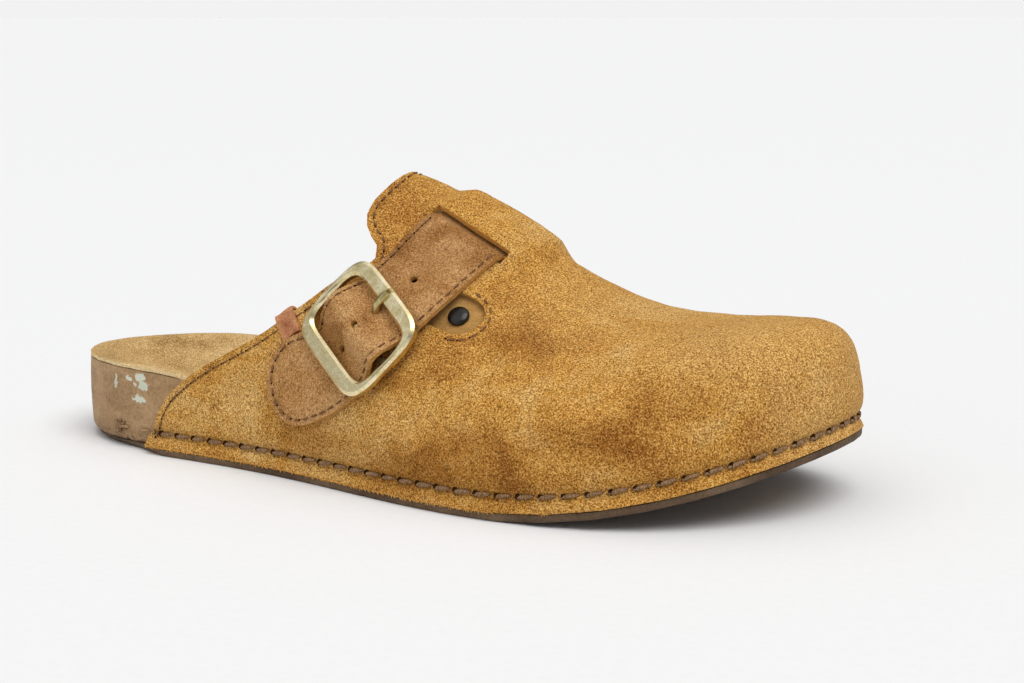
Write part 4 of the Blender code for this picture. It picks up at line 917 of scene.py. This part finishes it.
def strap_lines():
    """Along both edges of the strap and round its free end, and round its inner end."""
    stop, start = float(STRAP_REACH[-1]), float(STRAP_REACH[0])
    half = STRAP_WIDTH / 2 - STRAP_MARGIN

    def spot(reach, across):
        place, side, outward = strap_frame(reach)
        return cast(STRAP_TREE, place + side * across + outward * STRAP_RAY_LIFT, -outward)

    bend = stop - STRAP_TIP
    length = STRAP_TIP - STRAP_MARGIN
    outer = [(reach, -half) for reach in np.linspace(BRIDGE_COVER, bend, EDGE_POINTS)]
    for turn in np.linspace(0.0, math.pi, TIP_POINTS)[1:-1]:
        into = math.sin(turn) ** (2 / TIP_SQUARE)
        outer.append((bend + length * into, -half * math.cos(turn)))
    outer += [(reach, half) for reach in np.linspace(bend, BRIDGE_COVER, EDGE_POINTS)]
    first = start + STRAP_MARGIN
    inner = [(reach, -half) for reach in np.linspace(-BRIDGE_COVER, first, TIP_POINTS)]
    inner += [(first, across) for across in np.linspace(-half, half, 30)]
    inner += [(reach, half) for reach in np.linspace(first, -BRIDGE_COVER, TIP_POINTS)]
    lines = []
    for route in (outer, inner):
        found = [spot(reach, across) for reach, across in route]
        lines.append([p for p in found if p is not None])
    return lines


SOLE_LINE = foot_line(SOLE_LINE_HEIGHT)
FUZZ_LINE = foot_line(FUZZ_HEIGHT)
HEEL_LINE = heel_line()
COLLAR_LINE = collar_line(COLLAR_MARGIN)
NOTCH_LINES = notch_line(False) + notch_line(True)
STRAP_LINES = strap_lines()


def near_lines(lines):
    """A search tree over sewing lines, with points less than a millimetre apart."""
    dense = []
    for line in lines:
        for a, b in zip(line, line[1:]):
            count = max(1, int((b - a).length / TREE_STEP))
            dense += [a.lerp(b, k / count) for k in range(count)]
    tree = KDTree(len(dense))
    for k, point in enumerate(dense):
        tree.insert(point, k)
    tree.balance()
    return tree


UPPER_SEWING = near_lines([COLLAR_LINE] + NOTCH_LINES)
SOLE_SEWING = near_lines([SOLE_LINE])
UPPER_CHANNELS = [
    (UPPER_SEWING, CHANNEL_DEPTH, CHANNEL_WIDTH), (SOLE_SEWING, SOLE_CHANNEL_DEPTH, SOLE_CHANNEL_WIDTH),
]
STRAP_SEWING = near_lines(STRAP_LINES)


def crease_height(point):
    """Rise of the suede at a place: the listed creases, then slow unevenness."""
    x, z = point[0] + HEEL_REST, point[2]
    side = -1 if point[1] < 6 * MM else 1
    height = 0.0
    for crease in CREASES:
        if crease.side != side:
            continue
        turn = math.radians(crease.turn)
        dx, dz = x / MM - crease.x, z / MM - crease.z
        along = dx * math.cos(turn) + dz * math.sin(turn)
        across = -dx * math.sin(turn) + dz * math.cos(turn)
        across += CREASE_WAVER * along * math.sin(CREASE_WAVES * along + crease.x)
        if abs(along) < 2.4 * crease.half_length and abs(across) < 3 * crease.half_width:
            fade = math.exp(-(along / crease.half_length) ** 2 - (across / crease.half_width) ** 2)
            height += crease.height * fade
    slow = fractal(Vector(point) * UNEVEN_PER_METRE, 0.7, 2.1, 3)
    return height * MM + UNEVEN_HEIGHT * slow


def quiet(point):
    """0 beside the strap and low over the sole, 1 well away from them."""
    place = Vector(point)
    strap = STRAP_TREE.find_nearest(place)[3]
    low = place.z - float(spring(place.x + HEEL_REST))
    from_strap = ease((strap - STRAP_QUIET) / STRAP_QUIET_FADE)
    from_foot = ease((low - FOOT_QUIET) / FOOT_QUIET_FADE)
    return float(from_strap) * float(from_foot)


def shape_upper(places):
    """Creases, unevenness and the channels in which the threads lie."""
    moved = places.copy()
    for k, point in enumerate(places):
        spot, outward = on_last(point)
        height = crease_height(spot) * quiet(spot)
        for lines, depth, width in UPPER_CHANNELS:
            distance = lines.find(point)[2]
            if distance < 4 * width:
                height -= depth * math.exp(-(distance / width) ** 2)
        moved[k] = np.array(Vector(point) + outward * height)
    return moved


def shape_strap(places):
    """The channels in which the strap's threads lie."""
    moved = places.copy()
    for k, point in enumerate(places):
        _, outward = on_last(point)
        _, _, distance = STRAP_SEWING.find(point)
        if distance < 4 * CHANNEL_WIDTH:
            depth = STRAP_CHANNEL_SHARE * CHANNEL_DEPTH * math.exp(-(distance / CHANNEL_WIDTH) ** 2)
            moved[k] = np.array(Vector(point) - outward * depth)
    return moved


def wall_kind(centre, normal):
    """0 outside, 1 cut edge, 2 inside, by how a face stands to the last."""
    _, outward = on_last(centre)
    facing = outward.dot(Vector(normal))
    if facing > CUT_FACING:
        return 0
    return 1 if facing > -CUT_FACING else 2


def top_kind(centre, normal):
    """0 for the insole's faces, 1 for its cut edge at the side."""
    return 1 if abs(normal[2]) < SIDE_FACING else 0


def swell(piece, far):
    """Moves a piece's surface outward by far."""
    normals = np.zeros(3 * len(piece.data.vertices))
    piece.data.vertex_normals.foreach_get("vector", normals)
    places = np.zeros(len(normals))
    piece.data.vertices.foreach_get("co", places)
    piece.data.vertices.foreach_set("co", places + far * normals)
    piece.data.update()


def dress_solids():
    """A finer piece over each CAD node, in its material."""
    upper = refined(
        "upper_shell", "upper", 4, 38, [SUEDE, SUEDE_EDGE, LINING], wall_kind, shape_upper)
    place_piece(upper, "upper_suede", "upper")
    strap = refined(
        "strap_band", "strap", 4, 38, [STRAP_SUEDE, STRAP_EDGE, LINING], wall_kind, shape_strap)
    place_piece(strap, "strap_leather", "strap")
    Dress = namedtuple("Dress", "piece cad_node steps sharp surface slot")
    brass = aged_brass("antique_brass", "#A08E5E", "#DACA98", "#F4E8C4", rough=0.24)
    dark_brass = aged_brass("antique_brass_dark", "#6A5C38", "#A3945F", "#C6B888", rough=0.28)
    for row in (
            Dress("chape_strip", "chape", 3, 38, CHAPE_SUEDE, "chape_leather"),
            Dress("facing_patch", "notch_facing", 2, 38, FACING, "facing_leather"),
            Dress("rivet_dome", "rivet", 3, 50, lacquered_steel(), "rivet_black"),
            Dress("buckle_bow", "buckle_frame", 4, 28, brass, "buckle_brass"),
            Dress("buckle_pin", "buckle_prong", 3, 52, dark_brass, "prong_brass"),
            Dress("tag_loop", "collar_tag", 3, 38, TAG, "tag_leather"),
            Dress("footbed_body", "footbed", 4, 40, footbed_side(), "footbed_edge"),
            Dress("outsole_sheet", "outsole", 3, 30, sole_rubber(), "outsole_rubber")):
        bulge = 0.0 if row.cad_node == "outsole" else BULGE
        made = refined(row.piece, row.cad_node, row.steps, row.sharp, [row.surface], bulge=bulge)
        place_piece(made, row.slot, row.cad_node)
    swell(bpy.data.objects["buckle_pin"], PRONG_SWELL)
    insole = refined("insole_sock", "insole", 4, 45, [INSOLE, INSOLE_EDGE], top_kind)
    place_piece(insole, "insole_suede", "insole")


# Stitches by Geometry Nodes


def stitch_tree():
    """Stitches laid along paths: each is a rounded bar along the path, at one pitch."""
    tree = bpy.data.node_groups.new("stitches", "GeometryNodeTree")
    tree.interface.new_socket(name="Paths", in_out="INPUT", socket_type="NodeSocketGeometry")
    for name, value in (
            ("Pitch", EDGE_PITCH), ("Stitch", EDGE_STITCH), ("Thread", EDGE_THREAD), ("Start", 0.0),
            ("Lean", (0.0, 0.0, 0.0)), ("Scatter", 0.0)):
        kind = "NodeSocketVector" if isinstance(value, tuple) else "NodeSocketFloat"
        tree.interface.new_socket(name=name, in_out="INPUT", socket_type=kind).default_value = value
    tree.interface.new_socket(name="Surface", in_out="INPUT", socket_type="NodeSocketMaterial")
    tree.interface.new_socket(name="Stitches", in_out="OUTPUT", socket_type="NodeSocketGeometry")
    given = node(tree, "NodeGroupInput").outputs
    paths = node(tree, "GeometryNodeMeshToCurve", Mesh=given["Paths"])
    past_end = 10.0
    trimmed = node(
        tree, "GeometryNodeTrimCurve", {"mode": "LENGTH"}, {4: given["Start"], 5: past_end}, Curve=paths)
    evenly = node(
        tree, "GeometryNodeResampleCurve", {"mode": "LENGTH"}, Curve=trimmed, Length=given["Pitch"])
    along = node(tree, "GeometryNodeInputTangent")
    leaning = node(tree, VECTOR_MATH, {"operation": "ADD"}, {0: along, 1: given["Lean"]})
    loose = node(
        tree, "FunctionNodeRandomValue", {"data_type": "FLOAT_VECTOR"},
        {0: (-1.0, -1.0, -1.0), 1: (1.0, 1.0, 1.0)}, Seed=0)
    strewn = node(
        tree, VECTOR_MATH, {"operation": "SCALE"}, {0: loose}, Scale=given["Scatter"])
    aimed = node(tree, VECTOR_MATH, {"operation": "ADD"}, {0: leaning, 1: strewn})
    turned = node(tree, "FunctionNodeAlignRotationToVector", {"axis": "X"}, Vector=aimed)
    bead = node(tree, "GeometryNodeMeshUVSphere", Segments=8, Rings=6, Radius=0.5)
    size = node(
        tree, "ShaderNodeCombineXYZ", X=given["Stitch"], Y=given["Thread"], Z=given["Thread"])
    shaped = node(tree, "GeometryNodeTransform", Geometry=bead, Scale=size)
    uneven = node(tree, "FunctionNodeRandomValue", {"data_type": "FLOAT"}, {2: 0.9, 3: 1.08}, Seed=7)
    laid = node(
        tree, "GeometryNodeInstanceOnPoints", Points=evenly, Instance=shaped, Rotation=turned,
        Scale=uneven)
    real = node(tree, "GeometryNodeRealizeInstances", Geometry=laid)
    dressed = node(tree, "GeometryNodeSetMaterial", Geometry=real, Material=given["Surface"])
    node(tree, "NodeGroupOutput", Stitches=dressed)
    return tree


STITCHES = stitch_tree()


def sewn(name, lines, slot, surface, **sizes):
    """A piece of stitches along the given lines; sizes name the tree's inputs."""
    points, edges = [], []
    for line in lines:
        edges += [(len(points) + k, len(points) + k + 1) for k in range(len(line) - 1)]
        points += line
    mesh = bpy.data.meshes.new(name)
    mesh.from_pydata(points, edges, [])
    made = new_object(name, mesh)
    step = made.modifiers.new("stitches", "NODES")
    step.node_group = STITCHES
    given = {"Surface": surface, **sizes}
    for item in STITCHES.interface.items_tree:
        if item.item_type == "SOCKET" and item.in_out == "INPUT" and item.name in given:
            step[item.identifier] = given[item.name]
    graph = bpy.context.evaluated_depsgraph_get()
    result = bpy.data.meshes.new_from_object(made.evaluated_get(graph))
    made.modifiers.clear()
    made.data = result
    result.shade_smooth()
    place_piece(made, slot)


def raised_line(line, lift):
    """A sewing line moved out from the last."""
    return [Vector(p) + on_last(p)[1] * lift for p in line]


def edge_sewing(name, lines, slot, sink, hole_sink):
    """Fine stitches along edges, and dark beads at their needle holes as painted shade."""
    sewn(name + "_stitches", [raised_line(line, -sink) for line in lines], slot, FINE_THREAD,
         Pitch=EDGE_PITCH, Stitch=EDGE_STITCH, Thread=EDGE_THREAD, Start=0.5 * EDGE_PITCH)
    sewn(name + "_holes", [raised_line(line, -hole_sink) for line in lines], slot, HOLE,
         Pitch=EDGE_PITCH, Stitch=EDGE_HOLE_LENGTH, Thread=EDGE_HOLE_WIDTH, Start=0.0)


def sew_sole():
    sewn("sole_thread", [raised_line(SOLE_LINE, -SOLE_THREAD_SINK)], "upper_suede", THICK_THREAD,
         Pitch=SOLE_PITCH, Stitch=SOLE_STITCH, Thread=SOLE_THREAD, Start=0.5 * SOLE_PITCH, Lean=SOLE_LEAN)
    # Dark beads at the needle holes: painted shade inside the holes.
    sewn("sole_holes", [raised_line(SOLE_LINE, -SOLE_HOLE_SINK)], "upper_suede", HOLE,
         Pitch=SOLE_PITCH, Stitch=SOLE_HOLE_LENGTH, Thread=SOLE_HOLE_WIDTH, Start=SOLE_HOLE_START)
    sewn("heel_thread", [HEEL_LINE], "footbed_edge", HEEL_THREAD, Pitch=SOLE_PITCH, Stitch=SOLE_STITCH,
         Thread=HEEL_THREAD_WIDTH, Start=HEEL_STITCH_START, Lean=HEEL_LEAN)
    knot = HEEL_LINE[0]
    turns = [[knot + Vector(end) * MM for end in turn] for turn in KNOT_TURNS]
    sewn("heel_knot", turns, "footbed_edge", THICK_THREAD, Pitch=KNOT_PITCH, Stitch=KNOT_BEAD,
         Thread=KNOT_THREAD, Start=0.0, Scatter=KNOT_SCATTER)


def lay_fibres():
    sewn("foot_fuzz", [raised_line(FUZZ_LINE, FUZZ_LIFT)], "upper_suede", SUEDE_EDGE, Pitch=FUZZ_PITCH,
         Stitch=FUZZ_FIBRE, Thread=FUZZ_THICKNESS, Lean=FUZZ_LEAN, Scatter=FUZZ_SCATTER)
    low = min(FUZZ_LINE[:len(FUZZ_LINE) // 2], key=lambda p: abs(p.x - LINT_X))
    low = low + on_last(low)[1] * LINT_LIFT
    sewn("lint", [[low, low + LINT_REACH]], "upper_suede", LINT, Pitch=LINT_PITCH, Stitch=LINT_FIBRE,
         Thread=LINT_THICKNESS)


# Stage


def studio_floor():
    """Pale seamless paper, reaching past the horizon."""
    made, tree, shader, place = new_material("studio_paper")
    tooth = node(tree, NOISE, Vector=place, Scale=1 / (3 * MM), Detail=2.0, Roughness=0.55)
    colour = node(tree, RAMP, stops=[(0.0, "#E6E6E6"), (1.0, "#EBEBEB")], Fac=tooth)
    give(tree, shader, {"Base Color": colour, "Roughness": 0.95})
    mesh = bpy.data.meshes.new("studio_floor")
    half = 60.0
    corners = [(-half, -half, 0), (half, -half, 0), (half, half, 0), (-half, half, 0)]
    mesh.from_pydata(corners, [], [(0, 1, 2, 3)])
    mesh.materials.append(made)
    floor = new_object("studio_floor", mesh)


# The camera that was fitted to the photo: place, angles in degrees, and focal length in its pixels
CAMERA_PLACE = Vector((416.57, -520.01, 146.63)) * MM
CAMERA_YAW = 28.91
CAMERA_PITCH = -9.93
CAMERA_ROLL = -0.10
FOCAL_PIXELS = 1874.4
IMAGE_WIDTH = 1024
SENSOR = 36.0


def camera():
    data = bpy.data.cameras.new("camera")
    data.sensor_width = SENSOR
    data.lens = FOCAL_PIXELS / IMAGE_WIDTH * SENSOR
    data.clip_start = 0.01
    made = new_object("camera", data)
    turn = Matrix.Rotation(math.radians(CAMERA_YAW), 4, "Z")
    turn = turn @ Matrix.Rotation(math.radians(90 + CAMERA_PITCH), 4, "X")
    turn = turn @ Matrix.Rotation(math.radians(CAMERA_ROLL), 4, "Z")
    made.matrix_world = Matrix.Translation(CAMERA_PLACE) @ turn
    bpy.context.scene.camera = made


def soft_sun(name, heading, spread, strength):
    """A wide even light that shines along heading."""
    data = bpy.data.lights.new(name, "SUN")
    data.energy = strength
    data.angle = math.radians(spread)
    made = new_object(name, data)
    made.rotation_euler = Vector(heading).to_track_quat("-Z", "Y").to_euler()


def lights():
    """A white tent, dimmer at half height so that metal shows its form, and two wide lights."""
    world = bpy.data.worlds.new("studio")
    world.use_nodes = True
    tree = world.node_tree
    way = node(tree, "ShaderNodeTexCoord").outputs["Generated"]
    height = node(tree, SPLIT, Vector=way).outputs["Z"]
    tent = node(tree, RAMP, Fac=height, stops=[
        (0.0, "#F2F2F2"), (0.05, "#F2F2F2"), (0.14, "#8A8B8D"), (0.55, "#8A8B8D"), (0.85, "#FFFFFF")])
    give(tree, tree.nodes["Background"], {"Color": tent, "Strength": 1.0})
    bpy.context.scene.world = world
    soft_sun("key_light", (-0.46, 0.24, -0.88), spread=45, strength=1.62)
    soft_sun("front_light", (0.32, 0.85, -0.5), spread=60, strength=0.42)


# White paper comes out as white as in the photo
bpy.context.scene.view_settings.view_transform = "Standard"
dress_solids()
sew_sole()
lay_fibres()
edge_sewing("edge", [COLLAR_LINE] + NOTCH_LINES, "upper_suede", EDGE_SINK, EDGE_HOLE_SINK)
edge_sewing("strap", STRAP_LINES, "strap_leather", STRAP_SINK, STRAP_HOLE_SINK)
studio_floor()
camera()
lights()
